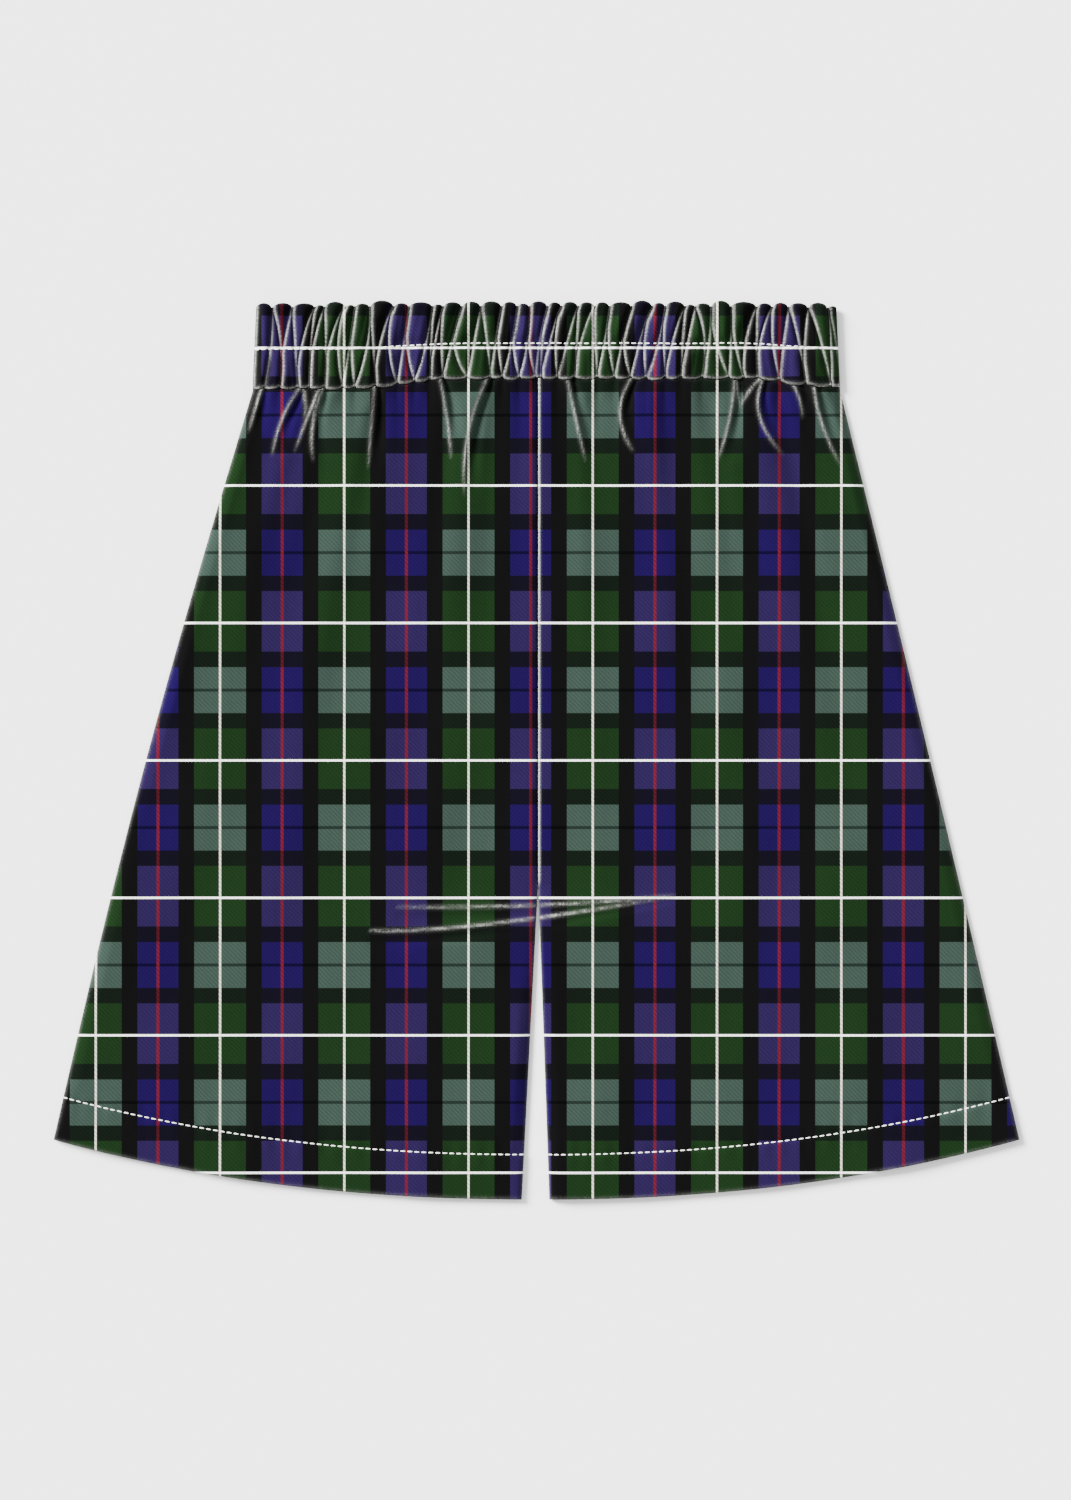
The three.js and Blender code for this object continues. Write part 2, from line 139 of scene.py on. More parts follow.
# %% Shader maths as Python expressions
class Field:
    """A value that changes over the surface: one output of a node in a tree."""

    def __init__(self, tree, socket):
        self.tree = tree
        self.socket = socket

    def beside(self, output):
        """Another output of the same node."""
        return Field(self.tree, self.socket.node.outputs[output])

    def math(self, operation, *others, flip=False):
        values = [*others, self] if flip else [self, *others]
        return self.tree.add("ShaderNodeMath", {"operation": operation}, dict(enumerate(values)))

    def __add__(self, other):
        return self.math("ADD", other)

    def __sub__(self, other):
        return self.math("SUBTRACT", other)

    def __rsub__(self, other):
        return self.math("SUBTRACT", other, flip=True)

    def __mul__(self, other):
        return self.math("MULTIPLY", other)

    def __truediv__(self, other):
        return self.math("DIVIDE", other)

    def __mod__(self, other):
        return self.math("FLOORED_MODULO", other)

    def __abs__(self):
        return self.math("ABSOLUTE")

    __radd__ = __add__
    __rmul__ = __mul__

    def within(self, half_width, soft):
        """1 where the field is nearer to 0 than half_width, 0 outside, with an edge of width soft."""
        ramp = {0: abs(self), 1: half_width - soft / 2, 2: half_width + soft / 2, 3: 1.0, 4: 0.0}
        return self.tree.add("ShaderNodeMapRange", {"interpolation_type": "SMOOTHSTEP"}, ramp)


print("a field can be used with", [name for name, what in vars(Field).items() if callable(what)])

# %% [markdown]
# Every other node comes from one method, which takes its type, its settings and what goes into its
# sockets. The same method serves the materials here and the stitches' geometry nodes further down.
# Dyes are easiest to write as a paint program's numbers, so a small function turns those into light.

# %% Trees of nodes and dyes
class Tree:
    """A tree of nodes. add() makes any node and gives one of its outputs as a Field."""

    def __init__(self, holder):
        self.nodes = holder.nodes
        self.links = holder.links

    def add(self, kind, settings=None, inputs=None, output=0):
        node = self.nodes.new(kind)
        for name, value in (settings or {}).items():
            setattr(node, name, value)
        for name, value in (inputs or {}).items():
            self.join(node.inputs[name], value)
        return Field(self, node.outputs[output])

    def join(self, socket, value):
        if isinstance(value, Field):
            self.links.new(value.socket, socket)
        else:
            socket.default_value = value

    def mix(self, factor, below, above, blend="MIX"):
        """The colour below, covered by the colour above as far as factor says."""
        settings = {"data_type": "RGBA", "blend_type": blend}
        return self.add("ShaderNodeMix", settings, {0: factor, 6: below, 7: above}, output=2)


class ShaderTree(Tree):
    """The tree of a new material. Its surface is the shader that ends it."""

    def __init__(self, name):
        self.material = bpy.data.materials.new(name)
        self.material.use_nodes = True
        super().__init__(self.material.node_tree)
        self.surface = self.nodes["Principled BSDF"].inputs


def dye(red, green, blue):
    """A paint program's colour, 0 to 255, turned into the light that Blender works with."""
    shares = [value / 255 for value in (red, green, blue)]
    light = [s / 12.92 if s <= 0.04045 else ((s + 0.055) / 1.055) ** 2.4 for s in shares]
    return (*light, 1.0)


print("a grey of 128 gives back", round(dye(128, 128, 128)[0], 3), "of the light")

# %% [markdown]
# A tartan is one list of stripes, used for the warp and for the weft. Where two stripes of one colour
# cross, the cloth is solid, and elsewhere it is a mixture, so the pattern could be mixed from threads
# alone. This cloth has greens and blues that turn greyer in every second row, so each crossing gets the
# colour that it shows, and the fine lines go over them. All stripe widths are in millimetres.

# %% Tartan sett
WARP_REPEAT = 62.15  # across the garment
CREAM_AT = 28.15  # x of one cream line, in the middle of a green stripe
GREEN_WIDTH = 26
NAVY_WIDTH = 20.5
CREAM_LINE = 1
RED_LINE = 1.5  # in the middle of a navy stripe
WEFT_REPEAT = 68.75  # down the garment
WHITE_AT = 63.55  # y of one white line
DEEP_ROW = (-14.3, 16)  # row of forest green and violet, from the white line
PALE_ROW_AT = -33.6  # middle of the row of sage and royal blue, from the white line
PALE_ROW_WIDTH = 23
WHITE_LINE = 1
HAIRLINE = 1.5  # dark, along the middle of the pale row
HAIRLINE_STRENGTH = 0.8
STRIPE_EDGE = 0.25  # how far neighbouring threads blend two stripes
CROSSED_SHARE = 0.25  # how much of a fine line is lost where threads cross over it

FOREST = dye(13, 31, 12)
SAGE = dye(37, 50, 44)
VIOLET = dye(25, 15, 47)
ROYAL = dye(16, 3, 47)
BLACK = dye(6, 6, 6)
GREEN_DUSK = dye(7, 14, 8)
NAVY_DUSK = dye(7, 5, 14)
CREAM = dye(188, 185, 172)
RED = dye(75, 14, 24)
RED_DUSK = dye(50, 10, 15)
WHITE = dye(252, 252, 250)
HAIRLINE_SHADE = dye(120, 128, 128)


def from_nearest(field, centre, repeat):
    """How far a point is from the nearest copy of a line that repeats."""
    return (field - (centre - repeat / 2)) % repeat - repeat / 2


def tartan_colour(tree, across, along, on_top):
    """The sett. Its fine lines are broken where the other threads cross over them."""
    warp = from_nearest(across, CREAM_AT, WARP_REPEAT)
    from_red = from_nearest(across, CREAM_AT + WARP_REPEAT / 2, WARP_REPEAT)
    weft = from_nearest(along, WHITE_AT, WEFT_REPEAT)
    from_pale = from_nearest(along, WHITE_AT + PALE_ROW_AT, WEFT_REPEAT)
    deep_middle = sum(DEEP_ROW) / 2
    deep = (weft - deep_middle).within((DEEP_ROW[1] - DEEP_ROW[0]) / 2, STRIPE_EDGE)
    pale = from_pale.within(PALE_ROW_WIDTH / 2, STRIPE_EDGE)
    green = tree.mix(pale, tree.mix(deep, GREEN_DUSK, FOREST), SAGE)
    navy = tree.mix(pale, tree.mix(deep, NAVY_DUSK, VIOLET), ROYAL)
    ground = tree.mix(warp.within(GREEN_WIDTH / 2, STRIPE_EDGE), BLACK, green)
    ground = tree.mix(from_red.within(NAVY_WIDTH / 2, STRIPE_EDGE), ground, navy)
    hairline = from_pale.within(HAIRLINE / 2, STRIPE_EDGE) * HAIRLINE_STRENGTH
    ground = tree.mix(hairline, ground, HAIRLINE_SHADE, "MULTIPLY")
    red = tree.mix(deep.math("MAXIMUM", pale), RED_DUSK, RED)
    warp_shows = 1 - CROSSED_SHARE * (1 - on_top)
    weft_shows = 1 - CROSSED_SHARE * on_top
    ground = tree.mix(from_red.within(RED_LINE / 2, STRIPE_EDGE) * warp_shows, ground, red)
    ground = tree.mix(warp.within(CREAM_LINE / 2, STRIPE_EDGE) * warp_shows, ground, CREAM)
    return tree.mix(weft.within(WHITE_LINE / 2, STRIPE_EDGE) * weft_shows, ground, WHITE)


print("repeat:", WARP_REPEAT, "by", WEFT_REPEAT, "mm")

# %% [markdown]
# School tartan is a two-and-two twill: each thread passes over two and under two, one step further
# along in each row, which draws fine diagonal ribs. The ribs could be modelled, but at half a
# millimetre they belong in a bump, whose height comes from sines across the threads. Yarn is never
# even, so noise that is drawn out along the threads makes some of them thicker and darker.

# %% Weave
THREAD = 0.55  # from one thread to the next
TWILL_REPEAT = 4  # threads, after which the twill starts again
TWILL_OVER = 2  # threads that each one passes over
SLUB_CELLS = (1.9, 0.06)  # of noise in a millimetre, across a thread and along it
SLUB_DETAIL = 2.0


def twill(tree, across, along):
    """Height of the weave from 0 to 1, and a mask of where the warp lies on top."""
    warp_thread = (across * (math.pi / THREAD)).math("SINE")
    weft_thread = (along * (math.pi / THREAD)).math("SINE")
    step = (across / THREAD).math("FLOOR") + (along / THREAD).math("FLOOR")
    on_top = (step % TWILL_REPEAT).math("LESS_THAN", TWILL_OVER - 0.5)
    height = on_top * abs(warp_thread) + (1 - on_top) * abs(weft_thread)
    return height, on_top


def slubs(tree, across, along, cells):
    """Soft noise drawn out along one set of threads."""
    place = tree.add("ShaderNodeCombineXYZ", {}, {0: across * cells[0], 1: along * cells[1]})
    noise = {"Vector": place, "Scale": 1.0, "Detail": SLUB_DETAIL}
    return tree.add("ShaderNodeTexNoise", {}, noise)


print("twill of", round(25.4 / THREAD), "threads to the inch")

# %% [markdown]
# The steps of the twill lighten the threads that lie on top, the slubs change their shade, and a sheen
# on the shader gives the nap of brushed yarn. Where the shells' map asks for a painted highlight, the
# tops of the threads are painted pale, some more than others. An image texture could hold all this, but
# would blur close up.

# %% Tartan cloth material
FLOAT_SHARE = 0.22  # how much lighter a thread is where it lies on top
SLUB_SHARE = 0.16  # how much a thread's shade wanders
FADE_SHARE = 0.1  # slow change of shade over the panels
FADE_CELLS = (0.02, 0.013)  # of the noise behind it, in a millimetre
WEAVE_DEPTH = 0.09
WEAVE_BUMP = 0.8
SLUB_RELIEF = 0.5  # how much thicker a slub is, against the height of the weave
CLOTH_ROUGHNESS = 0.82
ROUGHNESS_SPREAD = 0.12
NAP = 0.035
NAP_ROUGHNESS = 0.5
CLOTH_MAP = "cloth"
PAINTED_HIGHLIGHT_MAP = "painted_highlight"  # how far a painted highlight turns the cloth pale, from 0 to 1
# colour of the painted highlights along crests, creases and seams
PAINTED_HIGHLIGHT_COLOUR = dye(222, 222, 216)
HIGHLIGHT_STRENGTH = 1.6  # how strongly the painted highlight turns a thread pale
HIGHLIGHT_SPREAD = 6  # how much that changes from thread to thread


def tartan_cloth():
    tree = ShaderTree("tartan_cloth")
    painted_highlight = tree.add("ShaderNodeAttribute", {"attribute_name": PAINTED_HIGHLIGHT_MAP}, output="Fac")
    chart = tree.add("ShaderNodeUVMap", {"uv_map": CLOTH_MAP})
    metres = tree.add("ShaderNodeSeparateXYZ", {}, {0: chart})
    across = metres / MM
    along = metres.beside("Y") / MM
    height, on_top = twill(tree, across, along)
    warp_slub = slubs(tree, across, along, SLUB_CELLS)
    weft_slub = slubs(tree, across, along, SLUB_CELLS[::-1])
    slub = on_top * warp_slub + (1 - on_top) * weft_slub
    patch = slubs(tree, across, along, FADE_CELLS)
    shade = 1 + FLOAT_SHARE * (on_top - 0.5) + SLUB_SHARE * (slub - 0.5) + FADE_SHARE * (patch - 0.5)
    colour = tartan_colour(tree, across, along, on_top)
    tint = tree.add("ShaderNodeCombineXYZ", {}, {0: shade, 1: shade, 2: shade})
    woven = tree.mix(1.0, colour, tint, "MULTIPLY")
    # painted highlight: where the map asks for it, the tops of the threads turn pale
    highlight_share = painted_highlight * height * height * (HIGHLIGHT_SPREAD * (slub - 0.5) + HIGHLIGHT_STRENGTH).math("MAXIMUM", 0.0)
    tree.join(tree.surface["Base Color"], tree.mix(highlight_share, woven, PAINTED_HIGHLIGHT_COLOUR))
    roughness = CLOTH_ROUGHNESS + ROUGHNESS_SPREAD * (slub - 0.5)
    tree.join(tree.surface["Roughness"], roughness)
    relief = height + SLUB_RELIEF * slub
    weave = {"Strength": WEAVE_BUMP, "Distance": WEAVE_DEPTH * MM, "Height": relief}
    tree.join(tree.surface["Normal"], tree.add("ShaderNodeBump", {}, weave))
    tree.join(tree.surface["Specular IOR Level"], 0.0)
    tree.join(tree.surface["Sheen Weight"], NAP)
    tree.join(tree.surface["Sheen Roughness"], NAP_ROUGHNESS)
    return tree.material


tartan = tartan_cloth()
print("tartan cloth:", len(tartan.node_tree.nodes), "nodes")

# %% [markdown]
# The sewing thread is white spun polyester, two strands twisted together. Its twist is too fine to
# model, so diagonal ribs in the bump stand for it, and its colour is painted darker between the ribs as
# painted shade and paler on them as painted highlight.

# %% Thread material
TWIST = 0.35  # from one rib of the twist to the next
TWIST_DEPTH = 0.06
TWIST_BUMP = 0.5
THREAD_PAINTED_SHADE = dye(226, 226, 220)  # painted shade, between the ribs
# painted highlight, on the ribs
THREAD_PAINTED_HIGHLIGHT = dye(248, 248, 244)
THREAD_ROUGHNESS = 0.6
THREAD_NAP = 0.3


def sewing_thread():
    tree = ShaderTree("sewing_thread")
    place = tree.add("ShaderNodeTexCoord", output="Object")
    split = tree.add("ShaderNodeSeparateXYZ", {}, {0: place})
    diagonal = split + split.beside("Y")
    rib = (diagonal * (2 * math.pi / (TWIST * MM))).math("SINE")
    # painted shade between the ribs of the twist, painted highlight on them
    tree.join(tree.surface["Base Color"], tree.mix(rib * 0.5 + 0.5, THREAD_PAINTED_SHADE, THREAD_PAINTED_HIGHLIGHT))
    strands = {"Strength": TWIST_BUMP, "Distance": TWIST_DEPTH * MM, "Height": rib}
    tree.join(tree.surface["Normal"], tree.add("ShaderNodeBump", {}, strands))
    tree.join(tree.surface["Roughness"], THREAD_ROUGHNESS)
    tree.join(tree.surface["Sheen Weight"], THREAD_NAP)
    return tree.material


thread = sewing_thread()
print("thread:", len(thread.node_tree.nodes), "nodes")

# %% [markdown]
# Cloth has no sharp corners, so its shapes are built from a few soft curves: a step without a kink, a
# straight blend, a ridge that fades on both sides and a bell. They work on whole arrays of numbers, so
# one call shapes a whole grid of points. Folds also need chance that doesn't change from run to run.

# %% Curves that shape the cloth
SCATTER = (12.9898, 78.233, 43758.5453)  # any large uneven numbers do


def smooth(low, high, value):
    share = np.clip((value - low) / (high - low), 0, 1)
    return share * share * (3 - 2 * share)


def mix(first, second, share):
    return first + (second - first) * share


def fading(distance, width):
    """1 on a line, and less on both sides of it."""
    return np.exp(-np.abs(distance) / width)


def bell(distance, width):
    return np.exp(-((distance / width) ** 2))


def scatter(k, salt):
    """A number from 0 to 1 that jumps about from one fold to the next, the same in each run."""
    per_fold, per_salt, shuffle = SCATTER
    return np.modf(np.abs(np.sin(k * per_fold + salt * per_salt)) * shuffle)[0]


print("a step, a third of the way:", round(float(smooth(0, 3, 1)), 3))

# %% [markdown]
# Every panel follows a few lines: the waistband's seam, the hem, the side seams and the centre seam
# with the slit below it. On paper a cutter draws them as curves, and here each is a function of the
# place across or down the garment. The outer sizes come from the frame, so the cloth fits its solids.

# %% Outline of the garment
HALF_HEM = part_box("left_front_leg")[1][0] / MM
HEM_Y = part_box("right_front_leg")[0][1] / MM
TOP_Y = -HEM_Y
HEM_RISE = 30  # height of the hem's corners over its middle
HEM_POWER = 2.2  # how late the hem turns up towards the corners
WAIST_SHIFT = 4.9  # the waist lies this far towards the left leg
WAIST_WIDTH = 294  # along the seam
TOP_WIDTH = 290.4  # along the waistband's top edge
BAND_HEIGHT = 38.4
BAND_SAG = {"right": (5, 42, 100), "left": (4.4, 100, 147)}  # drop, and from where to where
TOP_SAG = 1  # of the top edge, at its ends
TOP_SAG_POWER = 4
HIP_BULGE = {"right": 4.3, "left": 0.8}  # of the side seams
CENTRE_X = 0.8  # of the centre seam
CROTCH_Y = -67
SLIT_HALF = {"right": 8.2, "left": 5.6}  # from the centre line to the inner edge, at the hem
HEM_DEPTH = 22.5  # from the edge to the stitches
SEAM_GAP = 0.3  # left between panels that are sewn together
FOOT_DIP = 1.5  # how much lower the side seam starts
SIGN = {"right": -1, "left": 1}
CORNER_Y = HEM_Y + HEM_RISE
WAIST_END = {side: WAIST_SHIFT + sign * WAIST_WIDTH / 2 for side, sign in SIGN.items()}


def band_foot(x):
    """The waistband's seam line, without its notches."""
    from_middle = np.abs(x - WAIST_SHIFT)
    right, left = (drop * smooth(*reach, from_middle) for drop, *reach in BAND_SAG.values())
    return TOP_Y - BAND_HEIGHT - np.where(x < WAIST_SHIFT, right, left)


def hem_edge(x):
    return HEM_Y + HEM_RISE * np.minimum(1, np.abs(x / HALF_HEM)) ** HEM_POWER


def side_seam(side, y):
    start = band_foot(np.array(WAIST_END[side])) - FOOT_DIP - SEAM_GAP
    down = np.clip((start - y) / (start - CORNER_Y), 0, 1)
    bulge = HIP_BULGE[side] * np.sin(math.pi * down)
    return mix(WAIST_END[side], SIGN[side] * HALF_HEM, down) + SIGN[side] * bulge


def inner_edge(side, y):
    """The centre seam, and below the crotch the edge of the slit."""
    down = np.maximum(0, (CROTCH_Y - y) / (CROTCH_Y - HEM_Y))
    return CENTRE_X + SIGN[side] * (SEAM_GAP / 4 + (SLIT_HALF[side] - SEAM_GAP / 4) * down)


print("hem:", round(2 * HALF_HEM, 1), "mm, length:", round(TOP_Y - HEM_Y, 1), "mm")

# %% [markdown]
# The elastic is shorter than the casing round it, so the casing puffs up between creases. The creases
# zigzag: two leave each crown on the top edge and run down to neighbouring feet at the seam. They are
# as uneven as they look on the garment, so they stay a table, one gather a row.

# %% Gathers of the waistband
# Columns: foot, then where the left and right creases pass the middle, then the crown. All are x.
GATHERS = [
    (-136.8, -133.6, -128.5, -132.6),
    (-129.0, -126.8, -121.3, -122.3),
    (-119.8, -118.1, -113.5, -111.2),
    (-114.4, -112.3, -106.0, -106.4),
    (-106.7, -104.3, -99.8, -95.8),
    (-97.4, -94.2, -93.0, -91.2),
    (-91.4, -85.5, -82.3, -83.8),
    (-81.2, -78.8, -74.3, -71.6),
    (-70.0, -67.0, -65.3, -64.2),
    (-61.5, -55.8, -53.3, -52.4),
    (-54.2, -51.4, -48.1, -47.1),
    (-47.3, -42.8, -41.9, -37.7),
    (-34.9, -31.6, -25.5, -28.2),
    (-23.8, -20.9, -19.7, -17.8),
    (-17.6, -13.2, -12.2, -10.0),
    (-9.0, -5.4, -4.4, -4.0),
    (-1.1, 1.2, 2.3, 5.2),
    (1.9, 6.0, 8.9, 12.2),
    (9.8, 14.7, 19.5, 20.5),
    (18.3, 21.5, 28.7, 28.8),
    (30.0, 33.3, 35.5, 36.2),
    (38.5, 42.2, 43.2, 47.2),
    (46.6, 51.0, 53.5, 57.6),
    (54.4, 60.2, 63.0, 64.1),
    (63.8, 67.5, 72.4, 74.0),
    (71.6, 75.0, 83.3, 79.0),
    (82.3, 85.7, 89.0, 86.8),
    (95.7, 96.6, 98.5, 96.8),
    (103.2, 104.1, 109.4, 109.8),
    (110.2, 111.4, 117.6, 117.6),
    (121.1, 123.0, 130.7, 125.7),
    (134.0, 133.4, 142.0, 135.5),
    (146.9, 146.6, 149.5, 145.3),
]
print(len(GATHERS), "gathers, from", GATHERS[0][0], "to", GATHERS[-1][0], "mm")

# %% [markdown]
# A curve through foot, middle and crown gives each crease at any height, and what lies between two
# creases is a fold. Wide folds bulge most. They scallop both edges of the waistband, where the creases
# pull notches, and no two bulge alike.

# %% Folds between the creases
LEAST_FOLD = 0.9  # width of the narrowest fold
FULL_PUFF_WIDTH = 9  # from here on a fold puffs up as far as it can
EDGE_ROUND = 0.5  # the lower, the blunter the bulges of the edges
LEAST_BULGE = 0.62  # of the laziest bulge, as a share of the fullest
CROWN_DIP = 3  # depth of the notches in the top edge
SCALLOP = 2.3  # how far the fullest puffs hang over the seam


def creases_at(t):
    """x of every crease at height t, from 0 at the seam to 1 at the top edge, with both ends."""
    low, middle, high = (1 - t) * (1 - 2 * t), 4 * t * (1 - t), t * (2 * t - 1)
    half = mix(WAIST_WIDTH, TOP_WIDTH, t) / 2
    feet = [row[0] for row in GATHERS] + [WAIST_END["left"] - LEAST_FOLD]
    lines = [WAIST_SHIFT - half]
    for k, (foot, left, right, crown) in enumerate(GATHERS):
        lines.append(low * foot + middle * left + high * crown)
        lines.append(low * feet[k + 1] + middle * right + high * crown)
    lines.append(WAIST_SHIFT + half)
    for k in range(1, len(lines) - 1):
        lines[k] = max(lines[k], lines[k - 1] + LEAST_FOLD)
    for k in range(len(lines) - 2, 0, -1):
        lines[k] = min(lines[k], lines[k + 1] - LEAST_FOLD)
    return np.array(lines)


FEET = creases_at(0)
CROWNS = creases_at(1)


def fold_at(lines, x):
    """Which fold x is in, how far across it, and how wide the fold is."""
    k = np.clip(np.searchsorted(lines, x) - 1, 0, len(lines) - 2)
    width = lines[k + 1] - lines[k]
    return k, np.clip((x - lines[k]) / width, 0, 1), width


def arch(across, width, power):
    """Height of a puff from 0 to 1: round on top, and lower where its creases are close."""
    return np.minimum(1, width / FULL_PUFF_WIDTH) * np.sin(math.pi * across) ** power


def fullness(lines, x):
    """How far the waistband's edge bulges at x, with flatter bulges than the puffs themselves."""
    k, across, width = fold_at(lines, x)
    return arch(across, width, EDGE_ROUND) * mix(LEAST_BULGE, 1, scatter(k, 9))


def top_edge(x):
    sag = TOP_SAG * np.minimum(1, np.abs(x - WAIST_SHIFT) / (TOP_WIDTH / 2)) ** TOP_SAG_POWER
    return TOP_Y - sag - CROWN_DIP * (1 - fullness(CROWNS, x))


def front_foot(x):
    return band_foot(x) - SCALLOP * fullness(FEET, x)


print(len(FEET) - 1, "folds, the widest", np.diff(FEET).max().round(1), "mm at the seam")

# %% [markdown]
# Below the waistband the fullness runs out in creases, each as long and as bent as the cloth decides.
# Two more are drawn across the legs by the crotch seam. A cloth simulation would put them elsewhere,
# so each is a row in a table, and one smooth bend follows from the places that the row gives.

# %% Creases of the legs
# Columns: x at the seam, half way down and at the tip, how far down the tip is, and the depth.
WAIST_CREASES = [
    (-137.0, -140.8, -144.2, 23, 1.6),
    (-117.8, -127.6, -132.2, 35, 2.2),
    (-117.4, -115.4, -116.6, 18, 1.4),
    (-108.0, -115.0, -121.2, 33, 2.0),
    (-106.4, -112.0, -111.4, 38, 2.0),
    (-80.8, -82.6, -84.2, 42, 2.2),
    (-48.2, -44.6, -42.8, 41, 2.2),
    (-24.2, -34.4, -35.8, 60, 2.6),
    (15.4, 19.8, 24.8, 43, 2.2),
    (48.0, 41.8, 49.0, 38, 2.0),
    (99.4, 96.4, 90.2, 43, 2.2),
    (99.8, 100.6, 101.8, 16, 1.4),
    (112.6, 105.8, 101.9, 15, 1.3),
    (113.6, 111.6, 124.0, 39, 2.2),
    (127.2, 131.6, 132.8, 19, 1.6),
    (138.6, 143.0, 152.2, 41, 2.0),
]
# Columns: one end, a bend and the other end, each as x and y, and the depth.
CROTCH_CREASES = [
    ((70.2, -72.6), (5, -79.6), (-70.8, -78.4), 1.3),
    ((70.2, -72.6), (-38, -92.6), (-84.4, -90.2), 1.5),
]
CREASE_FADE = 2.2  # how late a crease under the waistband fades on its way down
BEND_STEPS = 18  # straight pieces that stand for one bend


def bend_points(start, bend, end):
    share = np.linspace(0, 1, BEND_STEPS + 1)[:, None]
    start, bend, end = (np.array(point, float) for point in (start, bend, end))
    return (1 - share) ** 2 * start + 2 * share * (1 - share) * bend + share**2 * end


def all_creases():
    """Every crease as its points and a function that gives its depth along it."""
    for at, half_way, tip, drop, depth in WAIST_CREASES:
        top = float(band_foot(np.array(at)))
        bend = (2 * half_way - (at + tip) / 2, top - drop / 2)
        points = bend_points((at, top), bend, (tip, top - drop))
        yield points, lambda along, depth=depth: depth * (1 - along**CREASE_FADE)
    for start, bend, end, depth in CROTCH_CREASES:
        points = bend_points(start, bend, end)
        yield points, lambda along, depth=depth: depth * np.sqrt(np.abs(np.sin(math.pi * along)))


print(len(WAIST_CREASES), "creases from the waistband,", len(CROTCH_CREASES), "from the crotch")

# %% [markdown]
# A crease in lying cloth isn't the same on both sides. It rises gently from its left or upper side to
# a crest, drops steeply on the other, and leaves a soft trough there. So the distance from a crease
# has a sign, and the crest and the trough are two bell curves of it.

# %% Crests and troughs
CREASE_WIDTH = (1.7, 4.2)  # of the steep side, where the crease starts and at its tip
CREST = 0.6  # height of the crest, against the trough's depth
CREST_GENTLE = 2.2  # how far the crest spreads on its gentle side, in crease widths
CREST_STEEP = 0.55
TROUGH_PLACE = 1.3  # how far the trough lies beside the crest
TROUGH_SPREAD = 0.9
HIGHLIGHT_DEPTH = 1.6  # depth of crease whose crest gets the fullest painted highlight
CREST_HIGHLIGHT_WIDTH = 0.42  # width of the painted highlight along a crest, in millimetres


def from_bend(x, y, points):
    """How far (x, y) is from a bend, negative on its gentle side, and how far along it, 0 to 1."""
    best = np.full(x.shape, np.inf)
    along = np.zeros(x.shape)
    steep = np.ones(x.shape)
    for k in range(BEND_STEPS):
        (ax, ay), (bx, by) = points[k], points[k + 1]
        dx, dy = bx - ax, by - ay
        share = np.clip(((x - ax) * dx + (y - ay) * dy) / (dx * dx + dy * dy), 0, 1)
        distance = np.hypot(x - ax - share * dx, y - ay - share * dy)
        nearer = distance < best
        best = np.where(nearer, distance, best)
        along = np.where(nearer, (k + share) / BEND_STEPS, along)
        steep = np.where(nearer, np.sign(dx * (y - ay) - dy * (x - ax)), steep)
    return best * steep, along


def crease_height(x, y):
    trough = np.zeros(x.shape)
    crest = np.zeros(x.shape)
    for points, depth_at in all_creases():
        distance, along = from_bend(x, y, points)
        scaled = distance / mix(*CREASE_WIDTH, along)
        depth = depth_at(along)
        dip = bell(scaled - TROUGH_PLACE, TROUGH_SPREAD)
        rise = bell(scaled, np.where(scaled < 0, CREST_GENTLE, CREST_STEEP))
        trough = np.minimum(trough, -depth * dip)
        crest = np.maximum(crest, CREST * depth * rise)
    return trough + crest


def crest_share(x, y):
    """Painted highlight along the crests: 1 on the crests of the deepest creases, 0 away from them."""
    share = np.zeros(x.shape)
    for points, depth_at in all_creases():
        distance, along = from_bend(x, y, points)
        near = fading(distance, CREST_HIGHLIGHT_WIDTH)
        share = np.maximum(share, near * np.minimum(1, depth_at(along) / HIGHLIGHT_DEPTH))
    return share


print("deepest crease:", max(row[-1] for row in WAIST_CREASES), "mm")

# %% [markdown]
# Cloth laid on cloth is never level. The whole surface heaves a little, and soft flutes fan out from
# the gathers down the legs. Neither follows a seam, so both are sums of a few slow waves whose lengths
# don't fit into each other, which keeps them from repeating.

# %% Slow waves in the cloth
# Columns: wavelength across and along, phase and height.
SWELLS = [
    (190, 240, 0.4, 0.4),
    (84, 150, 2.1, 0.3),
    (-57, 96, 4.0, 0.2),
    (41, -130, 1.2, 0.08),
]
# Columns: waves across half the garment, phase, height, and how far down the flutes fade.
FLUTES = [
    (3.1, 0.9, 0.55, 260),
    (5.3, 3.7, 0.5, 170),
    (8.2, 2.2, 0.4, 95),
    (12.6, 5.1, 0.22, 60),
]


def swell(x, y):
    total = np.zeros(x.shape)
    for wide, long, phase, height in SWELLS:
        total += height * np.sin(2 * math.pi * (x / wide + y / long) + phase)
    return total


def flutes(side, x, y, below):
    """Soft folds that fan out down the legs from the gathers."""
    fan = (x - WAIST_SHIFT) / np.abs(side_seam(side, y) - WAIST_SHIFT)
    total = np.zeros(x.shape)
    for waves, phase, height, fade in FLUTES:
        total += height * np.sin(2 * math.pi * waves * fan + phase) * np.exp(-below / fade)
    return total


print(len(SWELLS), "swells and", len(FLUTES), "flutes")

# %% [markdown]
# Sewing leaves its own marks. The turned hem is thicker, its row of stitches pulls a shallow channel
# and draws up small waves, and puckers leave the waist seam, one from each fold of the waistband. Each
# mark fades with the distance from its own line, so they can simply be added up.

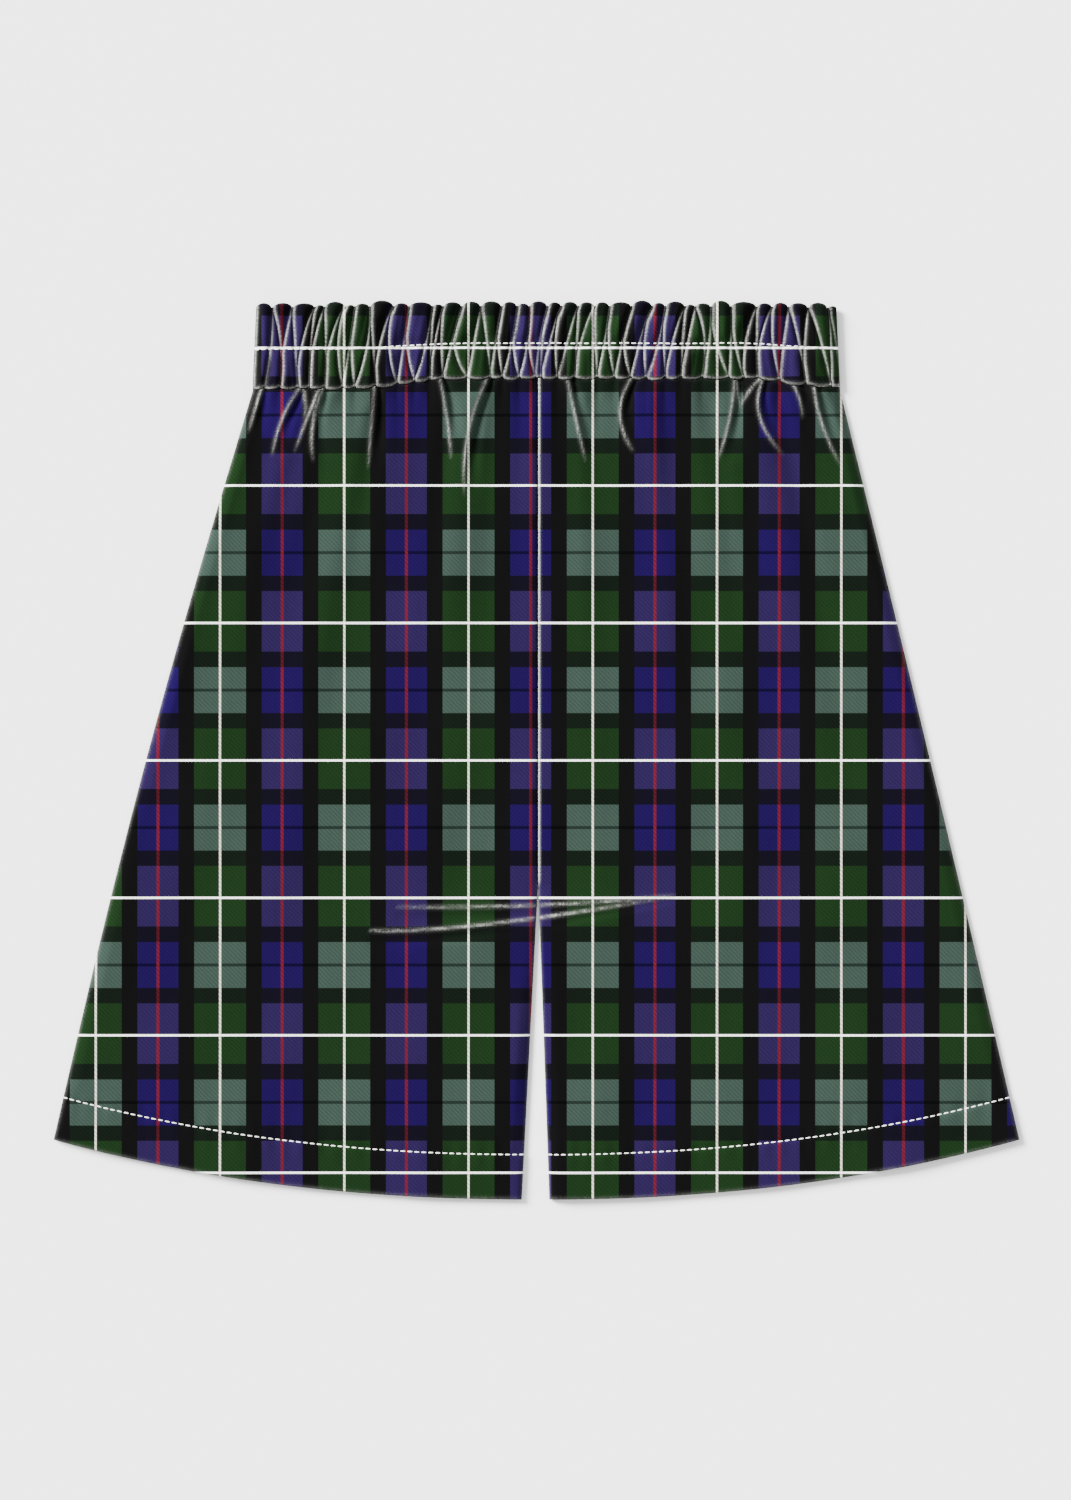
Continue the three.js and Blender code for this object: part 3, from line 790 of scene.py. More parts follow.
# %% Marks of the sewing
HEM_STEP = 1  # how far the hem's inner edge spreads
STITCH_CHANNEL = 0.35  # depth of the dent that a row of stitches pulls
STITCH_CHANNEL_WIDTH = 1.5
HEM_PUCKER = 0.18  # height of the small waves that the hem's stitches draw up
HEM_PUCKER_PITCH = 9
HEM_PUCKER_DRIFT = 23  # how slowly their pitch wanders
HEM_PUCKER_WANDER = 3  # and how far
HEM_PUCKER_REACH = 7  # from the stitches, up and down
PUCKER = 1.1
PUCKER_ROUND = 0.75  # the lower, the blunter
PUCKER_FADE = (5, 16)  # how far the shortest and the longest reach down


def past_hem(from_hem):
    """0 on the turned hem, 1 on the single cloth above it."""
    return smooth(HEM_DEPTH - HEM_STEP, HEM_DEPTH + HEM_STEP, from_hem)


def stitch_channel(from_hem):
    return STITCH_CHANNEL * bell(from_hem - HEM_DEPTH, STITCH_CHANNEL_WIDTH)


def hem_puckers(x, from_hem):
    wander = HEM_PUCKER_WANDER * np.sin(x / HEM_PUCKER_DRIFT)
    wave = np.sin(2 * math.pi * x / HEM_PUCKER_PITCH + wander)
    return HEM_PUCKER * wave * bell(from_hem - HEM_DEPTH, HEM_PUCKER_REACH)


def puckers(x, below):
    k, across, width = fold_at(FEET, x)
    fade = mix(*PUCKER_FADE, scatter(k, 1))
    return PUCKER * arch(across, width, PUCKER_ROUND) * np.exp(-below / fade)


print("hem", HEM_DEPTH, "mm deep, with a channel of", STITCH_CHANNEL, "mm")

# %% [markdown]
# The front panels lie on the back ones along their seams and stand off them between, most of all under
# the waistband. All of it adds up: the rise off the back, the slow waves, the creases and the marks of
# the sewing. The back panels rest on the surface, so they only give way upwards.

# %% Height of the cloth
CLOTH_SOLID = 1.2  # wall of a panel's solid in the frame
HEM_SOLID = 1.7
EDGE_ROLL = 7  # how far in from its edges a front panel still rises
LOFT = 1.1  # how far the front stands off the back
HEM_LOFT = 0.35  # share of that at the hem
HEM_SETTLE = 60  # height over the hem where it is whole
WAIST_RISE = 1.6  # added under the waistband
WAIST_FADE = 46
FLUTE_START = 12  # distance below the seam at which the flutes reach their height
SIDE_CALM = 4  # no creases this close to a side seam
SEAM_SINK = {"right": 0.7, "left": 0.1}  # how far the cloth sinks towards the centre seam
SEAM_ROLL = 5
BACK_TROUGH = 0.4  # depth of the back's troughs and puckers, against the front's
BACK_PUCKER = 0.3


def from_edges(side, x, y):
    """Distances to the side seam, the inner edge, the hem and the waist seam."""
    waist = front_foot(x) - SEAM_GAP
    return (
        np.abs(x - side_seam(side, y)),
        np.abs(x - inner_edge(side, y)),
        np.maximum(0, y - hem_edge(x)),
        np.maximum(0, waist - y),
    )


def front_height(side, x, y):
    """Outside of a front panel, away from its edges."""
    from_side, from_inner, from_hem, below = from_edges(side, x, y)
    split = y < CROTCH_Y
    free_inside = np.where(split, smooth(0, EDGE_ROLL, from_inner), 1)
    freed = np.minimum(smooth(0, EDGE_ROLL, from_side), free_inside)
    settled = mix(HEM_LOFT, 1, smooth(0, HEM_SETTLE, from_hem))
    waves = swell(x, y) + flutes(side, x, y, below) * smooth(0, FLUTE_START, below)
    lift = freed * (LOFT * settled + WAIST_RISE * np.exp(-below / WAIST_FADE) + waves)
    seam = np.where(split, 0, SEAM_SINK[side] * (1 - smooth(0, SEAM_ROLL, from_inner)))
    creased = crease_height(x, y) * smooth(0, SIDE_CALM, from_side)
    hem = 2 * (HEM_SOLID - CLOTH_SOLID) * (1 - past_hem(from_hem))
    sewn = hem_puckers(x, from_hem) - stitch_channel(from_hem) + puckers(x, below)
    return 2 * CLOTH_SOLID + SEAM_GAP + np.maximum(0, lift - seam + creased) + hem + sewn


def back_height(side, x, y):
    """Outside of a back panel, which faces down and rests on the surface."""
    _, _, from_hem, below = from_edges(side, x, y)
    troughs = np.maximum(0, -BACK_TROUGH * crease_height(2 * CENTRE_X - x, y))
    pucker = BACK_PUCKER * PUCKER * (1 - fullness(FEET, x)) * np.exp(-below / PUCKER_FADE[0])
    return troughs + stitch_channel(from_hem) + pucker


middle = np.array([[-100.0]]), np.array([[0.0]])
print("a leg's middle is", front_height("right", *middle).round(2)[0, 0], "mm above the surface")

# %% [markdown]
# Cloth is round wherever it ends: folded at a hem, pressed at a seam. Solidify would give square edges
# and the same thickness all over. Here every edge has a distance, a radius and a height that its rim
# comes down to, and a quarter circle leads there. Near a corner the two rims share the height.

# %% Rounded edges
CORNER_BLEND = 0.02  # how softly two edges share a corner


def round_off(share):
    """A quarter circle: 0 at the rim, 1 from share 1 inwards."""
    return np.sqrt(1 - (1 - np.clip(share, 0, 1)) ** 2)


def rounded(full, edges):
    """Brings a surface of height full down to its rim. edges are (distance, radius, rim height)."""
    shares = [distance / radius for distance, radius, _ in edges]
    weights = [1 / (share + CORNER_BLEND) ** 2 for share in shares]
    rim = sum(weight * height for weight, (_, _, height) in zip(weights, edges)) / sum(weights)
    return mix(rim, full, round_off(np.minimum.reduce(shares)))


print("half way in, a rounded edge has", round(float(round_off(0.5)), 2), "of its height")

# %% [markdown]
# A panel is a closed skin: a grid of points over its outside and another over its inside, sharing the
# points round the rim. Each point carries its place on the flat cloth, which the tartan reads, so the
# pattern follows the cloth and not the camera, and a second map keeps all faces apart.

# %% Closed shells from grids
BAKE_MAP = "OFBake"
INSIDE_SHARE = 0.2  # height of the bake map that the inside gets
BAKE_MARGIN = 0.01  # strip of it left bare between the two, and at the top


def quads(a, b, c, d):
    return np.dstack([a, b, c, d]).reshape(-1, 4)


def shell(name, x, y, upper, lower, painted_highlight):
    """A closed mesh between two heights over one grid. Rows run up the garment, columns across it."""
    rows, columns = x.shape
    top = np.arange(rows * columns).reshape(rows, columns)
    bottom = top.copy()
    inside = (rows - 2) * (columns - 2)
    bottom[1:-1, 1:-1] = rows * columns + np.arange(inside).reshape(rows - 2, columns - 2)
    places = np.dstack([x, y, upper]).reshape(-1, 3)
    under = np.dstack([x, y, lower])[1:-1, 1:-1].reshape(-1, 3)
    outside = quads(top[:-1, :-1], top[:-1, 1:], top[1:, 1:], top[1:, :-1])
    underside = quads(bottom[:-1, :-1], bottom[1:, :-1], bottom[1:, 1:], bottom[:-1, 1:])
    faces = np.concatenate([outside, underside])
    points = np.concatenate([places, under])
    # the painted highlight map, kept on every point of the shell
    painted_highlight_values = np.concatenate([painted_highlight.reshape(-1), painted_highlight[1:-1, 1:-1].reshape(-1)])
    mesh = bpy.data.meshes.new(name)
    mesh.from_pydata((points * MM).tolist(), [], faces.tolist())
    mesh.polygons.foreach_set("use_smooth", [True] * len(faces))
    add_maps(mesh, points, faces, len(faces) // 2)
    mesh.attributes.new(PAINTED_HIGHLIGHT_MAP, "FLOAT", "POINT").data.foreach_set("value", painted_highlight_values)
    mesh.materials.append(tartan)
    piece = bpy.data.objects.new(name, mesh)
    bpy.context.scene.collection.objects.link(piece)
    print(name, "has", 2 * len(faces), "triangles")
    return piece


def add_maps(mesh, points, faces, upper_count):
    """The map that the tartan reads, and one where no two faces share a place."""
    corners = points[faces.reshape(-1)][:, :2]
    mesh.uv_layers.new(name=CLOTH_MAP).data.foreach_set("uv", (corners * MM).reshape(-1))
    low, high = corners.min(axis=0), corners.max(axis=0)
    spread = (corners - low) / (high - low)
    upper = np.repeat(np.arange(len(faces)) < upper_count, 4)
    low_strip = spread[:, 1] * (INSIDE_SHARE - BAKE_MARGIN)
    high_strip = INSIDE_SHARE + BAKE_MARGIN + spread[:, 1] * (1 - 2 * BAKE_MARGIN - INSIDE_SHARE)
    spread[:, 1] = np.where(upper, high_strip, low_strip)
    mesh.uv_layers.new(name=BAKE_MAP).data.foreach_set("uv", spread.reshape(-1))


print("the inside gets", INSIDE_SHARE, "of the bake map's height")

# %% [markdown]
# The grid of a leg panel is squeezed towards its edges, where the cloth turns over within a few
# millimetres, and its rows follow the hem and the waist seam. The rows of the hem lie at fixed
# distances from its edge, close together at its stitching. Since each line depends on the other
# direction, a few rounds of putting x on its row and y on its column settle them both.

# %% Grid of a leg panel
RIM_STEPS = (0, 0.08, 0.25, 0.55, 1.0, 1.7, 2.8)  # from an edge, in mm
HEM_STEPS = RIM_STEPS + (5, 8, 11, 14, 17, 19.2, 20.6, 21.3, 21.8, 22.2, 22.6, 23, 23.5, 24.2, 25.5)
MEAN_WIDTH = 190  # of a panel, which turns millimetres into shares of it
MEAN_HEIGHT = 400
GRID_ROUNDS = 8


def spaced(length, stretches, both=True):
    """Shares from 0 to 1, close together at the edges. stretches are (share, steps to there)."""
    rim = np.array(RIM_STEPS) / length
    shares = [rim if both else np.zeros(1)]
    for share, steps in stretches:
        end = min(share, 1 - rim[-1])
        shares.append(np.linspace(shares[-1][-1], end, steps + 1)[1:])
    shares.append(1 - rim[:-1][::-1])
    return np.concatenate(shares)


def leg_grid(side, columns, rows, waist_edge):
    """x and y of a panel's grid, from its left edge to its right one and from the hem up."""
    across = spaced(MEAN_WIDTH, [(1, columns)])[None, :]
    body = spaced(MEAN_HEIGHT, rows, both=False)[1:]
    over_hem = np.concatenate([HEM_STEPS, np.full(body.size, HEM_STEPS[-1])])[:, None]
    up = np.concatenate([np.zeros(len(HEM_STEPS)), body])[:, None]
    y = np.full((up.size, across.size), TOP_Y)
    for _ in range(GRID_ROUNDS):
        edges = (side_seam(side, y), inner_edge(side, y))
        left, right = edges if side == "right" else edges[::-1]
        x = mix(left, right, across)
        y = mix(hem_edge(x) + over_hem, waist_edge(x) - SEAM_GAP, up)
    return x, y


across, _ = leg_grid("right", 10, [(1, 10)], front_foot)
print("right panel reaches from", across.min().round(1), "to", across.max().round(1), "mm")

# %% [markdown]
# The two front panels come first, since they show most. Side seam and inseam roll down to meet the
# back panel half way, the centre seam is a groove between the legs, the waist seam dips under the
# waistband, and the hem is a rounded double fold.

# %% Front legs
LEG_HIGHLIGHT = {"crest": 0.36, "edge": 0.05, "right seam": 0, "left seam": 0.6}  # 1 is a full painted highlight
EDGE_HIGHLIGHT_WIDTH = 1.1
SEAM_HIGHLIGHT_WIDTH = 0.75
SEAM_HIGHLIGHT_START = (2, 4)  # from how far below the crotch to how far above it
FRONT_COLUMNS = 190
FRONT_ROWS = [(0.23, 28), (0.37, 46), (0.8, 52), (1, 48)]  # close by the crotch and under the waist
CLOTH = 0.8  # thickness
HEM_CLOTH = 1.5  # where it is folded at the hem
MEETING = 1.35  # height at which front and back meet at a side seam
MEETING_GAP = 0.1  # left between them there
SIDE_ROUND = 3
CENTRE_ROUND = {"right": 2.4, "left": 0.9}  # the left edge laps over the right one
CENTRE_DEPTH = {"right": 1.5, "left": 1.0}  # of the groove at the centre seam
CENTRE_START = (4, 6)  # from how far below the crotch to how far above it
WAIST_ROUND = 1.6
WAIST_DEPTH = 0.7
HEM_ROUND = 0.8


def hem_thickness(from_hem):
    return mix(HEM_CLOTH, CLOTH, past_hem(from_hem))


def sewn_up(y, start):
    """0 along the slit, 1 where the two legs are joined."""
    return smooth(CROTCH_Y - start[0], CROTCH_Y + start[1], y)


def front_edges(side, x, y, outer):
    """Distance, radius and rim height of each edge, for rounded()."""
    from_side, from_inner, from_hem, below = from_edges(side, x, y)
    joined = sewn_up(y, CENTRE_START)
    inner_rim = mix(MEETING, outer - CENTRE_DEPTH[side], joined)
    return [
        (from_side, SIDE_ROUND, MEETING + MEETING_GAP / 2 + 0 * x),
        (from_inner, mix(SIDE_ROUND, CENTRE_ROUND[side], joined), inner_rim),
        (from_hem, HEM_ROUND, outer - HEM_CLOTH / 2),
        (below, WAIST_ROUND, outer - WAIST_DEPTH),
    ]


def leg_highlight(side, x, y, crests):
    """Painted highlights: along crests, the hem, the side seam and the lapped centre seam."""
    from_side, from_inner, from_hem, _ = from_edges(side, x, y)
    seam = mix(LEG_HIGHLIGHT["edge"], LEG_HIGHLIGHT[f"{side} seam"], sewn_up(y, SEAM_HIGHLIGHT_START))
    seam = seam * bell(from_inner, SEAM_HIGHLIGHT_WIDTH)
    edge = LEG_HIGHLIGHT["edge"] * bell(np.minimum(from_side, from_hem), EDGE_HIGHLIGHT_WIDTH)
    return np.maximum.reduce([LEG_HIGHLIGHT["crest"] * crests, seam, edge])


def front_surface(side, x, y, depth=0):
    """The outside of a front panel, with its edges, or a surface at some depth under it."""
    outer = front_height(side, x, y)
    return rounded(outer - depth, front_edges(side, x, y, outer))


def front_leg(side):
    x, y = leg_grid(side, FRONT_COLUMNS, FRONT_ROWS, front_foot)
    upper = front_surface(side, x, y)
    lower = front_surface(side, x, y, hem_thickness(y - hem_edge(x)))
    painted_highlight = leg_highlight(side, x, y, crest_share(x, y))
    return shell(f"{side}_front", x, y, upper, np.minimum(lower, upper), painted_highlight)


fronts = {side: front_leg(side) for side in SIGN}

# %% [markdown]
# The back panels lie on the surface with their outside down. Only their edges show from above, at the
# hem and along the slit. They are cut and hemmed as the front ones are, but the garment's weight
# presses them flat, so their creases are shallow and their crests get no painted highlight.

# %% Back legs
BACK_COLUMNS = 110
BACK_ROWS = [(0.23, 16), (0.37, 24), (0.8, 32), (1, 30)]
SEWN_RIM = 0.9  # how far the edges sewn at the centre and the waist rise


def back_edges(side, x, y, outer):
    from_side, from_inner, from_hem, _ = from_edges(side, x, y)
    below = np.maximum(0, band_foot(x) - SEAM_GAP - y)
    free_rim = MEETING - MEETING_GAP / 2
    return [
        (from_side, SIDE_ROUND, free_rim + 0 * x),
        (from_inner, SIDE_ROUND, mix(free_rim, outer + SEWN_RIM, sewn_up(y, CENTRE_START))),
        (from_hem, HEM_ROUND, outer + HEM_CLOTH / 2),
        (below, WAIST_ROUND, outer + SEWN_RIM),
    ]


def back_surface(side, x, y, depth=0):
    """The outside of a back panel, with its edges, or a surface at some depth over it."""
    outer = back_height(side, x, y)
    return rounded(outer + depth, back_edges(side, x, y, outer))


def back_leg(side):
    x, y = leg_grid(side, BACK_COLUMNS, BACK_ROWS, band_foot)
    lower = back_surface(side, x, y)
    upper = back_surface(side, x, y, hem_thickness(y - hem_edge(x)))
    painted_highlight = leg_highlight(side, x, y, 0 * x)
    return shell(f"{side}_back", x, y, np.maximum(upper, lower), lower, painted_highlight)


backs = {side: back_leg(side) for side in SIGN}

# %% [markdown]
# Between two creases the casing stands up in a puff. Noise would make puffs that have nothing to do
# with the creases, so each is an arch across its own fold, and a few scattered numbers make it lean,
# swing over and sharpen in its own way. The row of stitches through the elastic pinches it along the
# middle, and a wide puff has a small second wrinkle.

# %% Puffs of the waistband
STITCH_LEVEL = 0.47  # where the middle row of stitches runs, as a share of the waistband's height
PINCH = 0.62  # how much lower the puffs are there
PINCH_WIDTH = 2.9
PINCH_DRIFT = 0.02  # how far the pinch wanders up and down, as a share of the height
SHOULDER = 0.16  # how much lower they are near both edges
SHOULDER_POWER = 3
LOWEST_PUFF = 0.68
SKEW = 0.9  # how far a puff leans to one side
SWAY = 0.4  # how far its ridge swings over on the way up
SWAY_TURNS = 0.8
RIDGE = (0.55, 1.15)  # from blunt puffs to sharp ones
WRINKLE_FROM = 3.5  # narrowest fold that has a second wrinkle
WRINKLE = 0.22
WRINKLE_WIDTH = 0.9
WRINKLE_PLACE = (0.35, 0.65)  # across the fold
WRINKLE_SLANT = 1.6  # range of its slants, in fold widths over the waistband's height


def wrinkle(t, k, across, width):
    """Depth of the second wrinkle of a wide puff, which slants away from the row of stitches."""
    slant = WRINKLE_SLANT * (scatter(k, 7) - 0.5)
    place = mix(*WRINKLE_PLACE, scatter(k, 8)) + slant * np.abs(t - STITCH_LEVEL)
    groove = bell((across - place) * width, WRINKLE_WIDTH) * np.sin(math.pi * across)
    return WRINKLE * smooth(WRINKLE_FROM, FULL_PUFF_WIDTH, width) * groove


def puff_height(t, k, across, width):
    """Height of the puffs, from 0 in a crease to about 1."""
    swing = np.sin(2 * math.pi * (SWAY_TURNS * t + scatter(k, 5)))
    lean = SKEW * (scatter(k, 2) - 0.5) + SWAY * swing
    shape = arch(across ** np.exp(lean), width, mix(*RIDGE, scatter(k, 6)))
    shape = shape * mix(LOWEST_PUFF, 1, scatter(k, 4))
    from_row = (t - STITCH_LEVEL - PINCH_DRIFT * (scatter(k, 3) - 0.5)) * BAND_HEIGHT
    pinched = 1 - PINCH * bell(from_row, PINCH_WIDTH)
    shoulders = 1 - SHOULDER * (2 * np.abs(t - 0.5)) ** SHOULDER_POWER
    return (shape - wrinkle(t, k, across, width)) * pinched * shoulders


widest = np.diff(FEET).argmax()
print("middle of the widest puff:", puff_height(0.25, widest, 0.5, np.diff(FEET)[widest]).round(2))

# %% [markdown]
# An even grid would cut across the slanting creases and blur them. So the waistband's grid has a fixed
# number of columns in every fold, closer together beside its creases, and each column slants with its
# fold. The creases stay sharp however narrow the fold is.

# %% Grid of the waistband
FOLD_STEPS = (0, 0.05, 0.11, 0.18, 0.27, 0.38, 0.5, 0.62, 0.73, 0.82, 0.89, 0.95)  # across a fold
BAND_ROWS = [(1, 34)]


def band_grid(foot_edge):
    """x, y and t of the grid, and for each column its fold, the place across it and its width."""
    levels = spaced(BAND_HEIGHT, BAND_ROWS)
    lines = np.array([creases_at(t) for t in levels])
    folds = lines.shape[1] - 1
    k = np.append(np.repeat(np.arange(folds), len(FOLD_STEPS)), folds - 1)
    across = np.append(np.tile(FOLD_STEPS, folds), 1)[None, :]
    width = lines[:, k + 1] - lines[:, k]
    x = lines[:, k] + width * across
    t = levels[:, None]
    y = mix(foot_edge(x), top_edge(x), t)
    return x, y, t, k[None, :], across, width


print("waistband grid:", band_grid(band_foot)[0].shape, "rows and columns")

# %% [markdown]
# The waistband is a casing with elastic inside, its front half lying on its back half. The front one
# has all the puffs and gets painted highlights beside its creases and along its seam. The back half
# rests on its puffs, which are pressed flat, so its creases are shallow hollows in the underside.

# %% Waistband
BAND_BACK = 3  # thickness of the back half
INSIDE = {"front": BAND_BACK + SEAM_GAP, "back": BAND_BACK}  # height of each half's inner face
FOOT_EDGE = {"front": front_foot, "back": band_foot}
BAND_FRONT = 2.7  # casing and elastic, under the puffs
VALLEY = 1.3  # how far a crease presses into that
PUFF = 4
BACK_PUFF = 1.3  # depth of the creases on the side that lies on the surface
BAND_END = 0.35  # thickness left at the ends, as a share
BAND_END_ROLL = 5
BAND_ROUND = 1.8
LONG_RIM = {"front": 1.0, "back": -0.6}  # height of the long edges over the inner face
END_RIM = {"front": -0.1, "back": 0.1}
# strengths of the painted highlights beside the creases and along the seam
GATHER_HIGHLIGHT = 0.35
FOOT_HIGHLIGHT = 0.33
LIP_PLACE = 0.75  # from a crease to the line beside it that gets a painted highlight
LIP_SPREAD = 0.34
LIP_FULL = 4  # fold width from which that line is at its palest


def gather_highlight(across, width, from_foot):
    """Painted highlights on the casing: beside its creases and along its seam."""
    lips = fading(across * width - LIP_PLACE, LIP_SPREAD) * np.minimum(1, width / LIP_FULL)
    return np.maximum(GATHER_HIGHLIGHT * lips, FOOT_HIGHLIGHT * fading(from_foot - LIP_PLACE, LIP_SPREAD))


def band_outside(layer, puffs, from_end):
    """Height of the outside, which faces down on the back half."""
    if layer == "back":
        return BACK_PUFF * np.clip(1 - puffs, 0, 1)
    full = mix(BAND_END, 1, smooth(0, BAND_END_ROLL, from_end))
    return INSIDE["front"] + (BAND_FRONT - VALLEY + PUFF * puffs) * full


def half_band(layer):
    x, y, t, k, across, width = band_grid(FOOT_EDGE[layer])
    half = mix(WAIST_WIDTH, TOP_WIDTH, t) / 2
    distances = (
        y - FOOT_EDGE[layer](x),
        top_edge(x) - y,
        x - (WAIST_SHIFT - half),
        WAIST_SHIFT + half - x,
    )
    heights = [INSIDE[layer] + rim[layer] + 0 * x for rim in (LONG_RIM, LONG_RIM, END_RIM, END_RIM)]
    rims = [(distance, BAND_ROUND, height) for distance, height in zip(distances, heights)]
    from_end = np.minimum(distances[2], distances[3])
    outer = rounded(band_outside(layer, puff_height(t, k, across, width), from_end), rims)
    inner = rounded(INSIDE[layer] + 0 * x, rims)
    painted_highlight = gather_highlight(across, width, distances[0])
    if layer == "back":
        return shell("back_casing", x, y, np.maximum(inner, outer), outer, painted_highlight)
    return shell("front_casing", x, y, outer, np.minimum(inner, outer), painted_highlight)


casings = {layer: half_band(layer) for layer in INSIDE}

# %% [markdown]
# Each hem is held by a row of white lockstitch, and another row runs round the waistband through the
# elastic. A stitch is one short length of thread that dips into the cloth at both ends. It is repeated
# some four hundred times, so a bead of a few dozen faces has to be enough.

# %% One stitch
STITCH_LENGTH = 2.5
STITCH_WIDTH = 0.7
STITCH_HEIGHT = 0.5
STITCH_RINGS = 7
STITCH_SIDES = 8
STITCH_TAPER = 0.6  # the lower, the blunter its ends


def stitch_shape():
    """One stitch along X, as a slim bead of rings between two tips."""
    mesh = bpy.data.meshes.new("stitch")
    angle = np.linspace(0, math.pi, STITCH_RINGS)[1:-1, None]
    turn = np.arange(STITCH_SIDES) * 2 * math.pi / STITCH_SIDES
    fat = np.sin(angle) ** STITCH_TAPER
    x = np.repeat(-np.cos(angle) * STITCH_LENGTH / 2, STITCH_SIDES, axis=1)
    y = fat * np.cos(turn) * STITCH_WIDTH / 2
    z = fat * np.sin(turn) * STITCH_HEIGHT / 2
    body = np.dstack([x, y, z]).reshape(-1, 3)
    tips = [[-STITCH_LENGTH / 2, 0, 0], [STITCH_LENGTH / 2, 0, 0]]
    first, last = len(body), len(body) + 1
    faces = []
    for side in range(STITCH_SIDES):
        other = (side + 1) % STITCH_SIDES
        for ring in range(0, first - STITCH_SIDES, STITCH_SIDES):
            a, b = ring + side, ring + other
            faces.append((a, a + STITCH_SIDES, b + STITCH_SIDES, b))
        faces.append((first, side, other))
        faces.append((last, first - STITCH_SIDES + other, first - STITCH_SIDES + side))
    mesh.from_pydata((np.vstack([body, tips]) * MM).tolist(), [], faces)
    mesh.polygons.foreach_set("use_smooth", [True] * len(faces))
    return bpy.data.objects.new("stitch", mesh)


one_stitch = stitch_shape()
print("one stitch has", len(one_stitch.data.polygons), "faces")

# %% [markdown]
# Geometry Nodes set the stitches out, because a row follows a line at one even pitch. A guide line is
# resampled at that pitch, the small shape is instanced at each point and turned along the line, and the
# instances are made real, which gives a plain mesh.

# %% Rows of stitches from a guide line
STITCH_PITCH = 3.5


def stitch_tree(shape):
    """The node group, and what Blender calls its pitch input."""
    group = bpy.data.node_groups.new("row_of_stitches", "GeometryNodeTree")
    face = group.interface
    face.new_socket("Guide", in_out="INPUT", socket_type="NodeSocketGeometry")
    pitch = face.new_socket("Stitch pitch", in_out="INPUT", socket_type="NodeSocketFloat")
    face.new_socket("Stitches", in_out="OUTPUT", socket_type="NodeSocketGeometry")
    tree = Tree(group)
    guide = tree.add("NodeGroupInput", output="Guide")
    curve = tree.add("GeometryNodeMeshToCurve", {}, {"Mesh": guide})
    spacing = {"Curve": curve, "Length": guide.beside("Stitch pitch")}
    points = tree.add("GeometryNodeResampleCurve", {"mode": "LENGTH"}, spacing)
    tangent = tree.add("GeometryNodeInputTangent")
    turn = tree.add("FunctionNodeAlignRotationToVector", {"axis": "X"}, {"Vector": tangent})
    bead = tree.add("GeometryNodeObjectInfo", {}, {"Object": shape}, output="Geometry")
    places = {"Points": points, "Instance": bead, "Rotation": turn}
    laid = tree.add("GeometryNodeInstanceOnPoints", {}, places)
    real = tree.add("GeometryNodeRealizeInstances", {}, {"Geometry": laid})
    sewn = tree.add("GeometryNodeSetMaterial", {}, {"Geometry": real, "Material": thread})
    tree.join(tree.nodes.new("NodeGroupOutput").inputs["Stitches"], sewn)
    return group, pitch.identifier


stitches, pitch_input = stitch_tree(one_stitch)


def sew(name, points):
    """A row of stitches along a line of points, as a plain mesh."""
    guide_mesh = bpy.data.meshes.new(name + "_guide")
    edges = [(k, k + 1) for k in range(len(points) - 1)]
    guide_mesh.from_pydata((points * MM).tolist(), edges, [])
    guide = bpy.data.objects.new(name + "_guide", guide_mesh)
    bpy.context.scene.collection.objects.link(guide)
    modifier = guide.modifiers.new("stitches", "NODES")
    modifier.node_group = stitches
    modifier[pitch_input] = STITCH_PITCH * MM
    depsgraph = bpy.context.evaluated_depsgraph_get()
    mesh = bpy.data.meshes.new_from_object(guide.evaluated_get(depsgraph))
    mesh.name = name
    row = bpy.data.objects.new(name, mesh)
    bpy.context.scene.collection.objects.link(row)
    bpy.data.objects.remove(guide)
    print(name, "has", len(mesh.vertices) // len(one_stitch.data.vertices), "stitches")
    return row


print("the tree that sews has", len(stitches.nodes), "nodes")

# %% [markdown]
# The hem rows follow the hem at its depth and stop short of the seams. The waistband's rows ride over
# the puffs but run straight, so the scallops of the edges are averaged out of their guides. Each guide
# takes its height from the cloth it runs on, so the thread sits half sunk.

# %% Sew the hems and the waistband
STITCH_RISE = {"front": 0.1, "back": -0.1}  # how far above the cloth's outside a stitch's middle lies
SURFACE = {"front": front_surface, "back": back_surface}
HEM_STITCH_INSET = 1.2  # from the seams at both ends
HEM_POINTS = 220
HEM_ROUNDS = 12
BAND_STITCH_INSET = 1.5
BAND_POINTS = 1400
STRAIGHTEN = 60  # points on each side that a waistband guide is averaged over


